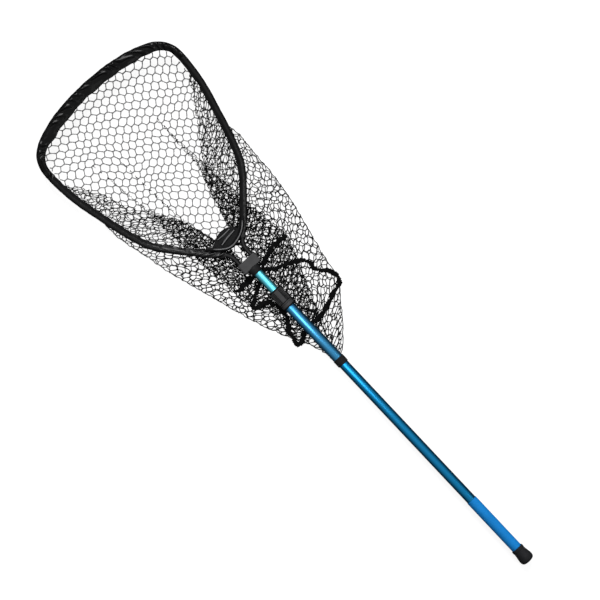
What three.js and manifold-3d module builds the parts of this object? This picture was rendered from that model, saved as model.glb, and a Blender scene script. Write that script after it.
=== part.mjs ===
// Landing net with a padded hoop, a mesh bag and a telescoping handle.
// Millimetres, +Z up.  The net lies flat: the handle runs along +X, the bag rests on z = 0.
import * as THREE from 'three';
import { mergeVertices } from 'three/addons/utils/BufferGeometryUtils.js';
import Module from 'manifold-3d';

const wasm = await Module();
wasm.setup();

// ---------------------------------------------------------------- driving dimensions
// the handle's axis slopes down to the cap, which rests on the same surface as the bag
const AXIS_SLOPE = 0.00779;            // fall of the axis per mm of +X
const AXIS_Z0 = 23.03;                 // height of the axis at x = 0
const SHIFT_X = 0.16;                  // shift of the whole object to the centre of its box
const SHIFT_Y = -8.03;
const THROAT_X = -244.5;               // the throat of the hoop, where its two legs meet
const HOOP_YAW = THREE.MathUtils.degToRad(-1.15);

// hoop: half of the tube's centre line, [distance from the throat, half width]
const HOOP_HALF = [
  [30, 61.6], [54.7, 84.0], [82, 108.3], [104, 126.3], [127.5, 142.2], [149, 152.0], [187, 164.9],
  [223, 175.0], [258, 183.4], [292, 192.2], [328, 199.4], [366, 203.8], [400, 205.4],
  [424, 203.4], [442, 196.6], [457, 184.2], [468, 168.6], [476.6, 148.5], [484.2, 125.8],
  [490, 102.0], [494.4, 76.0], [497.6, 46.0], [499.1, 16.0],
];
// each leg's last stretch, from the leg through the throat bridge into the yoke
const HOOP_LEG = [[-57, 17.8], [-43, 17.8], [-30, 17.8], [-18, 19.0], [-7, 24.2], [4, 34.2], [15, 46.6]];
const HOOP_TUBE_R = 5.75;
const HOOP_TUBE_WALL = 1.0;
const SLEEVE_R = 7.3;                  // sleeve round the tube
const SLEEVE_WALL = 1.0;
const ROPE_R = 1.2;
const ROPE_OFFSET = 7.9;               // head rope, inwards from the tube's centre line
const FAR_FLANGE = 15.0;               // seam flange of the far sleeve, inwards

// yoke
const YOKE_X0 = -201.7, YOKE_X1 = -176.4, YOKE_W = 50.8, YOKE_H = 24.0;
const FERRULE_X1 = -160.3;
// tubes of the handle: outer and inner radius
const FRONT_R = 10.95, FRONT_RI = 10.1, FRONT_X0 = -186.5, FRONT_X1 = 330;
const MID_R = 13.0, MID_RI = 12.2, MID_X0 = -88.0, MID_X1 = 122.0;
const REAR_R = 11.95, REAR_RI = 11.2, REAR_X0 = 55.0, REAR_X1 = 733.0;
// twist lock
const LOCK_X0 = -105.1, LOCK_X1 = -53.1, LOCK_R = 16.6;
// collar ring at the mid tube's rear end
const COLLAR_X0 = 108.8, COLLAR_X1 = 127.2, COLLAR_R = 14.0;
// grip and cap
const GRIP_X0 = 557.3, GRIP_X1 = 709.1, GRIP_R = 12.95;
const CAP_X0 = 709.4, CAP_X1 = 750.5, CAP_R = 17.25;
const GAP = 0.3;
// bag
const BAG_WALL = 0.9;
const BAG_LOW = 2.8;                   // height of the flattened bag under the handle
const BAG_HIGH = 11.0;                 // height beside the handle

// ---------------------------------------------------------------- helpers
function bare(geometry) {
  const g = geometry.index ? geometry.toNonIndexed() : geometry.clone();
  for (const name of Object.keys(g.attributes)) if (name !== 'position') g.deleteAttribute(name);
  const merged = mergeVertices(g, 1e-4);
  const idx = merged.index.array, keep = [];
  for (let i = 0; i < idx.length; i += 3) {
    const a = idx[i], b = idx[i + 1], c = idx[i + 2];
    if (a !== b && b !== c && a !== c) keep.push(a, b, c);
  }
  const p = merged.attributes.position;
  let vol = 0;
  const A = new THREE.Vector3(), B = new THREE.Vector3(), C = new THREE.Vector3();
  for (let i = 0; i < keep.length; i += 3) {
    A.fromBufferAttribute(p, keep[i]); B.fromBufferAttribute(p, keep[i + 1]); C.fromBufferAttribute(p, keep[i + 2]);
    vol += A.dot(B.cross(C));
  }
  if (vol < 0) for (let i = 0; i < keep.length; i += 3) { const t = keep[i + 1]; keep[i + 1] = keep[i + 2]; keep[i + 2] = t; }
  const out = new THREE.BufferGeometry();
  out.setAttribute('position', new THREE.Float32BufferAttribute(Array.from(p.array), 3));
  out.setIndex(keep);
  return out;
}
function toSolid(geometry) {
  const g = bare(geometry);
  return new wasm.Manifold(new wasm.Mesh({
    numProp: 3,
    vertProperties: new Float32Array(g.attributes.position.array),
    triVerts: new Uint32Array(g.index.array),
  }));
}
function toGeometry(solid) {
  const mesh = solid.getMesh();
  const n = mesh.numProp, count = mesh.vertProperties.length / n;
  const pos = new Float32Array(count * 3);
  for (let i = 0; i < count; i++) for (let k = 0; k < 3; k++) pos[i * 3 + k] = mesh.vertProperties[i * n + k];
  const g = new THREE.BufferGeometry();
  g.setAttribute('position', new THREE.Float32BufferAttribute(pos, 3));
  g.setIndex(Array.from(mesh.triVerts));
  g.computeVertexNormals();
  return g;
}
const cut = (body, ...tools) => tools.reduce((m, t) => m.subtract(t), body);
const join = (body, ...more) => more.reduce((m, t) => m.add(t), body);

// a turned solid about the X axis; the profile is a list of [x, r] and closes on itself
function turned(profile, sides = 24) {
  const pts = profile.map(([x, r]) => new THREE.Vector2(r, x));
  pts.push(pts[0].clone());
  const g = new THREE.LatheGeometry(pts, sides);
  g.rotateZ(-Math.PI / 2);
  return toSolid(g);
}
const ring = (x0, x1, ro, ri, sides = 32) => turned([[x0, ri], [x0, ro], [x1, ro], [x1, ri]], sides);
const rod = (x0, x1, r, sides = 24) => turned([[x0, 0], [x0, r], [x1, r], [x1, 0]], sides);
// a rod along Y or Z
function rodAlong(axis, c, from, to, r, sides = 16) {
  const g = new THREE.CylinderGeometry(r, r, to - from, sides);   // along Y
  if (axis === 'z') g.rotateX(Math.PI / 2);
  if (axis === 'y') g.translate(c[0], (from + to) / 2, c[1]);
  else g.translate(c[0], c[1], (from + to) / 2);
  return toSolid(g);
}
// an outline in Y and Z pushed along X
function alongX(shape, x0, x1, bevel = 0) {
  const g = new THREE.ExtrudeGeometry(shape, {
    depth: x1 - x0 - 2 * bevel, bevelEnabled: bevel > 0, bevelThickness: bevel, bevelSize: bevel,
    bevelOffset: -bevel, bevelSegments: 1, curveSegments: 3,
  });
  g.applyMatrix4(new THREE.Matrix4().makeBasis(
    new THREE.Vector3(0, 1, 0), new THREE.Vector3(0, 0, 1), new THREE.Vector3(1, 0, 0)));
  g.translate(x0 + bevel, 0, 0);
  return toSolid(g);
}
function roundRect(w, h, r) {
  const s = new THREE.Shape();
  s.moveTo(-w / 2 + r, -h / 2); s.lineTo(w / 2 - r, -h / 2);
  s.absarc(w / 2 - r, -h / 2 + r, r, -Math.PI / 2, 0, false);
  s.lineTo(w / 2, h / 2 - r); s.absarc(w / 2 - r, h / 2 - r, r, 0, Math.PI / 2, false);
  s.lineTo(-w / 2 + r, h / 2); s.absarc(-w / 2 + r, h / 2 - r, r, Math.PI / 2, Math.PI, false);
  s.lineTo(-w / 2, -h / 2 + r); s.absarc(-w / 2 + r, -h / 2 + r, r, Math.PI, Math.PI * 1.5, false);
  return s;
}
// an outline in X and Y pushed up from z0 to z1
function plate(points, z0, z1, holes = []) {
  const s = new THREE.Shape(points.map(p => new THREE.Vector2(p[0], p[1])));
  for (const h of holes) s.holes.push(new THREE.Path(h.map(p => new THREE.Vector2(p[0], p[1]))));
  const g = new THREE.ExtrudeGeometry(s, { depth: z1 - z0, bevelEnabled: false });
  g.translate(0, 0, z0);
  return toSolid(g);
}

// a path that keeps its own stations, so that nested sweeps share their section planes
class StationPath extends THREE.Curve {
  constructor(points) { super(); this.points = points; }
  getPoint(t, target = new THREE.Vector3()) {
    const n = this.points.length - 1, i = Math.min(Math.floor(t * n), n - 1);
    return target.copy(this.points[i]).lerp(this.points[i + 1], t * n - i);
  }
  getSpacedPoints() { return this.points.map(p => p.clone()); }
  computeFrenetFrames() {
    const P = this.points, n = P.length - 1, tangents = [], normals = [], binormals = [];
    for (let i = 0; i <= n; i++) {
      const a = P[Math.max(i - 1, 0)], b = P[i], c = P[Math.min(i + 1, n)];
      const t = new THREE.Vector3();
      if (i > 0) t.add(b.clone().sub(a).normalize());
      if (i < n) t.add(c.clone().sub(b).normalize());
      t.normalize();
      const nrm = t.clone().cross(new THREE.Vector3(0, 0, 1)).normalize();   // to the right of the way
      tangents.push(t); normals.push(nrm); binormals.push(t.clone().cross(nrm));
    }
    return { tangents, normals, binormals };
  }
}
function sweep(section, holes, points) {
  const s = new THREE.Shape(section.map(p => new THREE.Vector2(p[0], p[1])));
  for (const h of holes) s.holes.push(new THREE.Path(h.map(p => new THREE.Vector2(p[0], p[1]))));
  return toSolid(new THREE.ExtrudeGeometry(s, {
    steps: points.length - 1, bevelEnabled: false, extrudePath: new StationPath(points),
  }));
}
function circle(r, sides, cx = 0, cy = 0, phase = 0.5) {
  const out = [];
  for (let i = 0; i < sides; i++) {
    const a = (i + phase) / sides * 2 * Math.PI;
    out.push([cx + r * Math.cos(a), cy + r * Math.sin(a)]);
  }
  return out;
}
// a drop: a round of radius r at 0 joined to a round of radius q at distance d
function drop(r, q, d, sides) {
  const t = Math.acos(Math.min(1, (r - q) / d)), out = [], m = Math.round(sides * 0.6), k = sides - m;
  for (let i = 0; i <= m; i++) { const a = t + (2 * Math.PI - 2 * t) * i / m; out.push([r * Math.cos(a), r * Math.sin(a)]); }
  for (let i = 0; i <= k; i++) { const a = -t + 2 * t * i / k; out.push([d + q * Math.cos(a), q * Math.sin(a)]); }
  return out;
}

// ---------------------------------------------------------------- the hoop's line
function hoopPoint([a, w], side) {
  const dx = -a, dy = side * w;
  const k = THREE.MathUtils.smoothstep(a, -10, 25);
  const c = Math.cos(HOOP_YAW * k), s = Math.sin(HOOP_YAW * k);
  return new THREE.Vector3(THROAT_X + dx * c - dy * s, dx * s + dy * c, 0);
}
function stations(curve, maxTurn, maxStep) {
  const N = 1600, dense = curve.getSpacedPoints(N), out = [dense[0]];
  let last = 0, dir = null, turn = 0;
  for (let i = 1; i < N; i++) {
    const d = dense[i + 1].clone().sub(dense[i]).normalize();
    if (dir) turn += dir.angleTo(d);
    dir = d;
    if (turn > maxTurn || dense[i].distanceTo(dense[last]) > maxStep) { out.push(dense[i]); last = i; turn = 0; }
  }
  if (dense[N].distanceTo(dense[last]) < maxStep * 0.25) out.pop();
  out.push(dense[N]);
  return out;
}
const half = [...HOOP_LEG, ...HOOP_HALF];
const hoopCurve = new THREE.CatmullRomCurve3([
  ...half.map(p => hoopPoint(p, -1)),
  hoopPoint([499.4, 0], 1),
  ...half.slice().reverse().map(p => hoopPoint(p, 1)),
], false, 'centripetal');
const HOOP = stations(hoopCurve, THREE.MathUtils.degToRad(10.5), 44);
const dist = p => -(p.x - THROAT_X);                       // distance from the throat
const legEnd = HOOP.findIndex(p => dist(p) > 24);
const legEnd2 = HOOP.length - 1 - HOOP.slice().reverse().findIndex(p => dist(p) > 24);
const farA = HOOP.findIndex(p => dist(p) > 392);
const farB = HOOP.length - 1 - HOOP.slice().reverse().findIndex(p => dist(p) > 392);
const lerpEnd = (pts, from, to, gap) => {                  // the stretch from..to, pulled in by gap at both ends
  const out = pts.slice(from, to + 1).map(p => p.clone()), n = out.length - 1;
  out[0].add(out[1].clone().sub(out[0]).setLength(gap));
  out[n].add(out[n - 1].clone().sub(out[n]).setLength(gap));
  return out;
};

// ---------------------------------------------------------------- materials
const std = (color, roughness, metalness) => new THREE.MeshStandardMaterial({ color, roughness, metalness });
const BLUE = 0x0f78b4, BLACK = 0x17181a, GREY = 0x3c3c3e;
const parts = [];
const add = (group, name, solid, color, rough, metal) => {
  const mesh = new THREE.Mesh(toGeometry(solid), std(color, rough, metal));
  mesh.name = name;
  group.add(mesh);
  parts.push(mesh);
};

const root = new THREE.Group();
root.position.set(SHIFT_X, SHIFT_Y, 0);
const frame = new THREE.Group();                           // the hoop and handle, on the sloping axis
frame.position.set(0, 0, AXIS_Z0);
frame.rotation.y = Math.atan(AXIS_SLOPE);
root.add(frame);

// ---------------------------------------------------------------- hoop tube, sleeves and head rope
const screwX = -195.5, screwY = 17.8;
const screwHole = y => rodAlong('z', [screwX, y], -30, 1.6, 1.9, 12);
add(frame, 'hoop_tube', cut(
  sweep(circle(HOOP_TUBE_R, 10), [circle(HOOP_TUBE_R - HOOP_TUBE_WALL, 10)], HOOP),
  screwHole(screwY), screwHole(-screwY)), BLACK, 0.4, 0.6);

const sideOuter = drop(SLEEVE_R, 2.6, ROPE_OFFSET, 12), sideInner = drop(SLEEVE_R - SLEEVE_WALL, 1.6, ROPE_OFFSET, 12);
const farOuter = drop(SLEEVE_R, 2.8, FAR_FLANGE, 12), farInner = drop(SLEEVE_R - SLEEVE_WALL, 1.7, FAR_FLANGE, 12);
add(frame, 'sleeve_left', sweep(sideOuter, [sideInner], lerpEnd(HOOP, legEnd, farA, 0.9)), BLACK, 0.55, 0);
add(frame, 'sleeve_far', sweep(farOuter, [farInner], lerpEnd(HOOP, farA, farB, 0.9)), BLACK, 0.45, 0);
add(frame, 'sleeve_right', sweep(sideOuter, [sideInner], lerpEnd(HOOP, farB, legEnd2, 0.9)), BLACK, 0.55, 0);
const ropeLine = HOOP.slice(legEnd, legEnd2 + 1);
add(frame, 'head_rope', sweep(circle(ROPE_R, 8, ROPE_OFFSET, 0), [], lerpEnd(HOOP, legEnd, legEnd2, 1.0)), BLACK, 0.8, 0);

// ---------------------------------------------------------------- throat bridge, two shells round the hoop's legs
const bridgeOutline = [
  [-277, 66], [-269, 60], [-260, 52], [-252, 41], [-246, 28.5], [-241.8, 14], [-240.3, 0], [-243.6, -14], [-248.4, -22], [-254.6, -30], [-266, -42.5], [-279, -54],
  [-284, -47], [-272.5, -37], [-277, -27], [-283, -17], [-286.6, -6], [-287.6, 4], [-286.2, 14], [-282.5, 23], [-276.5, 30.5], [-267, 36], [-272, 48], [-283, 59],
];
const tubeTool = sweep(circle(HOOP_TUBE_R + GAP + 0.15, 10), [], HOOP.slice(0, legEnd + 2));
const tubeTool2 = sweep(circle(HOOP_TUBE_R + GAP + 0.15, 10), [], HOOP.slice(legEnd2 - 1));
const sleeveTool = sweep(drop(SLEEVE_R + GAP, 2.6 + GAP, ROPE_OFFSET, 12), [], HOOP.slice(legEnd, farA));
const sleeveTool2 = sweep(drop(SLEEVE_R + GAP, 2.6 + GAP, ROPE_OFFSET, 12), [], HOOP.slice(farB + 1, legEnd2 + 1));
const shell = (z0, z1) => cut(plate(bridgeOutline, z0, z1), tubeTool, tubeTool2, sleeveTool, sleeveTool2);
const rib = (xa, ya, xb, yb, w, z0, z1) => {              // a straight rib with round ends
  const r = w / 2, pts = [], dir = Math.atan2(yb - ya, xb - xa);
  for (let i = 0; i <= 6; i++) { const a = dir - Math.PI / 2 + Math.PI * i / 6; pts.push([xb + r * Math.cos(a), yb + r * Math.sin(a)]); }
  for (let i = 0; i <= 6; i++) { const a = dir + Math.PI / 2 + Math.PI * i / 6; pts.push([xa + r * Math.cos(a), ya + r * Math.sin(a)]); }
  return plate(pts, z0, z1);
};
const bead = sweep(circle(5.0, 10), [], stations(new THREE.CatmullRomCurve3(
  [[-279.5, 62.5], [-273, 57], [-264, 48.5], [-256.5, 38.5], [-250.6, 26.5], [-246.7, 13], [-245.3, 0], [-248.3, -12], [-252.8, -19.5], [-258.6, -27],
    [-269, -38.5], [-281, -50]].map(p => new THREE.Vector3(p[0], p[1], 6.5)), false, 'centripetal'),
  THREE.MathUtils.degToRad(12), 16));
const beadTop = bead.subtract(plate([[-330, -90], [-200, -90], [-200, 90], [-330, 90]], -10, 0.15));
const throatScrew = y => rodAlong('z', [-268, y], -30, 5.2, 1.7, 12);
const cover = cut(join(shell(0.15, 7.6), beadTop, rib(-277.8, -15, -277.8, 20, 4.4, 5, 9.8), rib(-262.8, -16, -268.6, 27, 4.4, 5, 9.8)),
  tubeTool, tubeTool2, sleeveTool, sleeveTool2, throatScrew(11), throatScrew(-11));
add(frame, 'throat_cover', cover, BLACK, 0.45, 0);
const throatHead = y => rodAlong('z', [-268, y], -30, -5.6, 3.4, 16);
add(frame, 'throat_base', cut(shell(-8.2, -0.15), throatScrew(11), throatScrew(-11), throatHead(11), throatHead(-11)), BLACK, 0.5, 0);
const screw = (x, y, zHead, zTop, r, rHead, head) => join(      // a pan-head screw driven upwards, with a hex socket
  rodAlong('z', [x, y], zHead - 0.6, zTop, r, 12),
  cut(rodAlong('z', [x, y], zHead - head, zHead, rHead, 16), rodAlong('z', [x, y], zHead - head - 1, zHead - head + 0.9, 1.3, 6)));
add(frame, 'throat_screw_1', screw(-268, 11, -5.9, 4.6, 1.4, 3.0, 2.0), GREY, 0.35, 1);
add(frame, 'throat_screw_2', screw(-268, -11, -5.9, 4.6, 1.4, 3.0, 2.0), GREY, 0.35, 1);

// ---------------------------------------------------------------- yoke and front tube
const bore = y => toSolid((() => {
  const g = new THREE.CylinderGeometry(HOOP_TUBE_R + 0.5, HOOP_TUBE_R + 0.5, 40, 16);
  g.rotateZ(Math.PI / 2); g.translate(-206.2, y, 0); return g;
})());
const yokeHead = y => rodAlong('z', [screwX, y], -30, -9.6, 3.5, 16);
add(frame, 'yoke_body', cut(alongX(roundRect(YOKE_W, YOKE_H, 6), YOKE_X0, YOKE_X1, 1.6),
  bore(17.8), bore(-17.8), rod(-187.2, -170, FRONT_R + 0.35, 32),
  rodAlong('z', [screwX, 17.8], -30, 0, 1.9, 12), rodAlong('z', [screwX, -17.8], -30, 0, 1.9, 12),
  yokeHead(17.8), yokeHead(-17.8)), GREY, 0.75, 0);
add(frame, 'yoke_screw_1', screw(screwX, 17.8, -9.9, -4.2, 1.5, 3.1, 1.8), GREY, 0.35, 1);
add(frame, 'yoke_screw_2', screw(screwX, -17.8, -9.9, -4.2, 1.5, 3.1, 1.8), GREY, 0.35, 1);
const rivetX = -166;
add(frame, 'yoke_ferrule', cut(turned([[YOKE_X1 + GAP, FRONT_R + 0.35], [YOKE_X1 + GAP, 15.4], [-172, 15.2], [FERRULE_X1 - 1, 12.6],
  [FERRULE_X1, 12.1], [FERRULE_X1, FRONT_R + 0.35]]), rodAlong('y', [rivetX, 0], -30, 30, 2.3, 12)), GREY, 0.6, 0);
add(frame, 'front_tube', cut(ring(FRONT_X0, FRONT_X1, FRONT_R, FRONT_RI), rodAlong('y', [rivetX, 0], -30, 30, 2.3, 12)), BLUE, 0.3, 1);
const rivetProfile = [[-16.3, 0], [-16.3, 2.2], [-15.8, 3.3], [-15.0, 3.5], [-15.0, 2.0], [15.0, 2.0], [15.0, 3.5], [15.8, 3.3], [16.3, 2.2], [16.3, 0]];
add(frame, 'front_tube_rivet', (() => {
  const pts = rivetProfile.map(([y, r]) => new THREE.Vector2(r, y)); pts.push(pts[0].clone());
  const g = new THREE.LatheGeometry(pts, 12); g.translate(rivetX, 0, 0); return toSolid(g);
})(), GREY, 0.35, 1);
add(frame, 'front_tube_plug', turned([[FRONT_X1 - 14, 7.5], [FRONT_X1 - 14, FRONT_RI - 0.3], [FRONT_X1 + 0.3, FRONT_RI - 0.3],
  [FRONT_X1 + 0.3, FRONT_R], [FRONT_X1 + 3.0, FRONT_R - 0.3], [FRONT_X1 + 3.0, 7.5]]), BLACK, 0.5, 0);

// ---------------------------------------------------------------- twist lock and mid tube
add(frame, 'mid_tube', ring(MID_X0, MID_X1, MID_R, MID_RI), BLUE, 0.3, 1);
add(frame, 'lock_body', turned([
  [-92.0, 11.5], [-92.0, 14.2], [-64.2, 14.2], [-64.2, 14.9], [-63.0, 16.2], [LOCK_X1 + 1.2, 16.2], [LOCK_X1, 15.2],
  [LOCK_X1, MID_R + GAP], [MID_X0 - GAP, MID_R + GAP], [MID_X0 - GAP, 11.5]]), GREY, 0.6, 0);
const slot = (deg, r0, r1, x0, x1, w) => {
  const g = new THREE.BoxGeometry(x1 - x0, w, r1 - r0);
  g.translate((x0 + x1) / 2, 0, (r0 + r1) / 2); g.rotateX(THREE.MathUtils.degToRad(deg)); return toSolid(g);
};
add(frame, 'lock_collet', cut(turned([[-101.0, 11.2], [-101.0, 12.4], [-94.6, 13.6], [-92.3, 13.6], [-92.3, 11.2]]),
  slot(30, 9, 20, -103, -93.6, 1.2), slot(150, 9, 20, -103, -93.6, 1.2), slot(270, 9, 20, -103, -93.6, 1.2)), 0x8c8c88, 0.5, 0);
const lobes = [];
for (let s = 0; s < 6; s++) {
  const c = 90 + s * 60;
  for (const [da, r] of [[-24, 16.4], [-12, 16.8], [0, 16.8], [12, 16.8], [24, 16.4], [26, 15.4], [28.3, 15.4], [29.2, 16.1], [30.8, 16.1], [31.7, 15.4], [34, 15.4]]) {
    const a = THREE.MathUtils.degToRad(c + da);
    lobes.push([Math.cos(a) * r * LOCK_R / 16.8, Math.sin(a) * r * LOCK_R / 16.8]);
  }
}
const lobeShape = new THREE.Shape(lobes.map(p => new THREE.Vector2(p[0], p[1])));
add(frame, 'lock_nut', cut(join(
  alongX(lobeShape, -101.4, -67.4),
  turned([[LOCK_X0, 0], [LOCK_X0, 14.6], [LOCK_X0 + 1.0, 15.6], [-101.8, 15.9], [-100.4, 15.2], [-90, 15.2], [-90, 0]]),
  turned([[-90, 0], [-90, 15.2], [-68.4, 15.2], [-67.2, 16.3], [-65.0, 16.3], [-64.5, 15.9], [-64.5, 0]])),
  turned([[-110, 0], [-110, 11.5], [-101.3, 11.5], [-101.3, 12.9], [-92.4, 14.5], [-60, 14.5], [-60, 0]])), GREY, 0.6, 0);

// ---------------------------------------------------------------- collar ring and its split ring
add(frame, 'collar_collet', cut(ring(MID_X1 + GAP, COLLAR_X1 - 2.7, 13.0, 12.25), slot(180, 9, 20, 120, 127, 1.5)), 0x8c8c88, 0.5, 0);
add(frame, 'collar_ring', turned([[COLLAR_X0, MID_R + GAP], [COLLAR_X0, 13.7], [COLLAR_X0 + 0.8, COLLAR_R], [COLLAR_X1 - 0.8, COLLAR_R],
  [COLLAR_X1, 13.5], [COLLAR_X1, 12.3], [COLLAR_X1 - 2.4, 12.3], [COLLAR_X1 - 2.4, MID_R + GAP]]), BLACK, 0.5, 0);

// ---------------------------------------------------------------- rear tube, grip and cap
add(frame, 'rear_tube', ring(REAR_X0, REAR_X1, REAR_R, REAR_RI), BLUE, 0.3, 1);
add(frame, 'rear_guide_ring', ring(REAR_X0 - 3.5, REAR_X0 - GAP, 12.05, 11.15), 0x8c8c88, 0.5, 0);
add(frame, 'grip_sleeve', turned([[GRIP_X0, REAR_R + GAP], [GRIP_X0, 12.6], [GRIP_X0 + 0.8, GRIP_R], [GRIP_X1, GRIP_R], [GRIP_X1, REAR_R + GAP]]), 0x1b76bc, 0.6, 0);
add(frame, 'end_cap', turned([
  [CAP_X0, REAR_R + GAP], [CAP_X0, 14.3], [CAP_X0 + 1, 15.0], [715.5, 15.1], [717.5, 14.5], [720, 14.7], [727, 15.6], [733.5, 16.7], [738.5, CAP_R],
  [743, 17.0], [746.8, 15.4], [749.3, 12.6], [CAP_X1, 8.5], [CAP_X1, 0], [REAR_X1 + 2, 0], [REAR_X1 + 2, REAR_R + GAP]]), 0x17181b, 0.7, 0);
add(frame, 'float_plug', rod(REAR_X1 - 60, REAR_X1 - 3, REAR_RI - 0.4, 24), 0x2a2a2a, 0.9, 0);

// ---------------------------------------------------------------- the bag
const S = 2.3, T0 = 137.3;
// both edges of the flattened bag behind the hoop, [x, distance from the axis], from the hoop's shoulders to the tip
const TAIL_UP = [[-456, 181.5], [-440, 186.6], [-360, 184.0], [-297.6, 180.8], [-219.4, 169.0], [-141.0, 151.3], [-62.8, 133.9], [-23.7, 127.9],
  [15.4, 96.6], [54.5, 67.4], [93.6, 30.1], [104, 17.5], [107.5, 9]];
const TAIL_DOWN = [[-486, 181.0], [-448, 180.6], [-360, 161.0], [-297.6, 147.9], [-219.4, 124.4], [-141.0, 101.0], [-82.3, 83.3], [-23.7, 59.8],
  [35.2, 30.4], [80, 14.9], [103, 11.0], [107.5, 4.5]];
const loopPts = [];                                        // the rim line that the bag hangs from
const rimHalf = HOOP_HALF;
for (const p of rimHalf) loopPts.push(hoopPoint(p, -1));
loopPts.push(hoopPoint([499.4, 0], 1));
for (const p of rimHalf.slice().reverse()) loopPts.push(hoopPoint(p, 1));
for (const [x, y] of [[-262, 43], [-254, 28], [-249.5, 13], [-248, 0], [-249.5, -13], [-254, -28], [-262, -43]]) loopPts.push(new THREE.Vector3(x, y, 0));
const loopCurve = new THREE.CatmullRomCurve3(loopPts, true, 'centripetal');
const loop = loopCurve.getSpacedPoints(90).slice(0, -1);
// sign of the loop's turning, so that offsets grow outwards
let area = 0;
loop.forEach((p, i) => { const q = loop[(i + 1) % loop.length]; area += p.x * q.y - q.x * p.y; });
const grow = d => loop.map((p, i) => {
  const a = loop[(i + loop.length - 1) % loop.length], b = loop[(i + 1) % loop.length];
  const t = b.clone().sub(a).normalize(), s = area > 0 ? 1 : -1;
  return [p.x + s * t.y * d, p.y - s * t.x * d];
});
const rimOut = grow(1.2), rimIn = grow(-1.2);
// outline of the whole bag: the rim's far part, then both tails to the tip, drawn in by inset
function bagOutline(inset) {
  const rim = grow(-inset).filter(p => p[0] < (p[1] < 0 ? -505 : -474));
  const pull = (list, side) => list.map(([x, y], i) => [x - (i >= list.length - 2 ? inset : 0), side * (y - inset)]);
  return [...rim, ...pull(TAIL_UP, 1), ...pull(TAIL_DOWN, -1).reverse()];
}
// the top of the bag: low under the handle, higher beside it and under the hoop
const XS = [-770, -240, -223, -207, -190, -100, 0, 120], YS = [-260, -55, -44, -33, -22, 22, 33, 44, 55, 260];
const bagTop = (x, y) => {
  const s = THREE.MathUtils.smoothstep(Math.abs(y), 22, 55), u = THREE.MathUtils.smoothstep(-x, 190, 240);
  return BAG_LOW + (BAG_HIGH - BAG_LOW) * Math.max(s, u);
};
function slab(bottom, drop) {
  const g = new THREE.BoxGeometry(1, 1, 1, XS.length - 1, YS.length - 1, 1), p = g.attributes.position;
  for (let i = 0; i < p.count; i++) {
    const x = XS[Math.round((p.getX(i) + 0.5) * (XS.length - 1))], y = YS[Math.round((p.getY(i) + 0.5) * (YS.length - 1))];
    p.setXYZ(i, x, y, p.getZ(i) > 0 ? bagTop(x, y) - drop : bottom);
  }
  return toSolid(g);
}
const above = (() => {                                      // everything above the underside of the sleeves
  const g = new THREE.BoxGeometry(1200, 700, 100); g.translate(-300, 0, 50 - 9.4); g.rotateY(Math.atan(AXIS_SLOPE));
  g.translate(0, 0, AXIS_Z0); return toSolid(g);
})();
const rimWall = cut(plate(rimOut, 0, 40), plate(rimIn, -1, 41), above);
const pouch = slab(0, 0).intersect(plate(bagOutline(0), -1, 40));
const hollow = slab(BAG_WALL, BAG_WALL).intersect(plate(bagOutline(2.6), -1, 40));
const mouth = plate(rimIn, BAG_WALL, 60);
add(root, 'net_bag', cut(join(pouch, rimWall), hollow, mouth), 0x101010, 0.8, 0);

// ---------------------------------------------------------------- the bag's seam, laid on its front layer
const seam = [[-215, -47], [-216, -30], [-210.5, -11], [-208.5, 0], [-207.6, 11], [-207, 19], [-206.7, 28]];
const seamMain = [[-204.6, -3], [-203.7, -8], [-198.6, -15], [-193.5, -27], [-186.7, -39], [-180, -45], [-171, -44], [-163, -50.5], [-156, -55],
  [-149, -55.4], [-144, -53], [-141.2, -44], [-138, -35], [-135.5, -27], [-132.3, -16.5], [-132.6, -6], [-131.8, 2], [-130.6, 8], [-127, 14.5],
  [-126.5, 19], [-131, 20.5], [-136, 18.6], [-142, 18.8], [-147.6, 14], [-154.4, 9.5], [-162, 8.2], [-170, 8.8], [-176.5, 11], [-180.4, 16.5],
  [-182.2, 25], [-184.6, 27], [-189.5, 21], [-195, 12], [-199, 5], [-201.5, 1]];
const seamPath = (list, step) => stations(new THREE.CatmullRomCurve3(list.map(([t, k]) => new THREE.Vector3((t + T0) * S, -k * S, 0)), false, 'centripetal'),
  THREE.MathUtils.degToRad(24), step).map(p => {
  const clear = Math.max(THREE.MathUtils.smoothstep(Math.abs(p.y), 18, 30), THREE.MathUtils.smoothstep(-p.x, 185, 200));
  return p.setZ(bagTop(p.x, p.y) + 0.3 + 1.25 + 1.5 * clear);
});
const seamSection = circle(1, 8).map(([x, y]) => [x * 3.2, y * 1.25]);
add(root, 'bag_seam', sweep(seamSection, [], seamPath(seamMain, 17)), 0x0c0c0c, 0.9, 0);
add(root, 'bag_seam_end', sweep(seamSection.map(([x, y]) => [x * 1.35, y]), [], seamPath(seam, 17)), 0x0c0c0c, 0.9, 0);

export default root;
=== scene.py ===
import math
import bpy
import bmesh
import numpy as np
from mathutils import Matrix, Vector


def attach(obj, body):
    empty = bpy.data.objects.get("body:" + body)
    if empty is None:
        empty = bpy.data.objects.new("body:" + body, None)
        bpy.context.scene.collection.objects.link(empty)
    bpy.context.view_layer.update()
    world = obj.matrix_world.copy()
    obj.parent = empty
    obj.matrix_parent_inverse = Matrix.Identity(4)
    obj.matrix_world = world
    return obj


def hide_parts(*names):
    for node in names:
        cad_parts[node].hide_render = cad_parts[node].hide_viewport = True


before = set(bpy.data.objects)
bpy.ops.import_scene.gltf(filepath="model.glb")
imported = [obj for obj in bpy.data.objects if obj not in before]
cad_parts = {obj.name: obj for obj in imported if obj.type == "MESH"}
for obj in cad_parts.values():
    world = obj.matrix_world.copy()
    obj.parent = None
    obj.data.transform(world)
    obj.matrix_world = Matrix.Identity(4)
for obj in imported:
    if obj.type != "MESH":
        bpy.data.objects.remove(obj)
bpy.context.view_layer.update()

# ---------------------------------------------------------------- the shared frame
MM = 0.001
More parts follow.
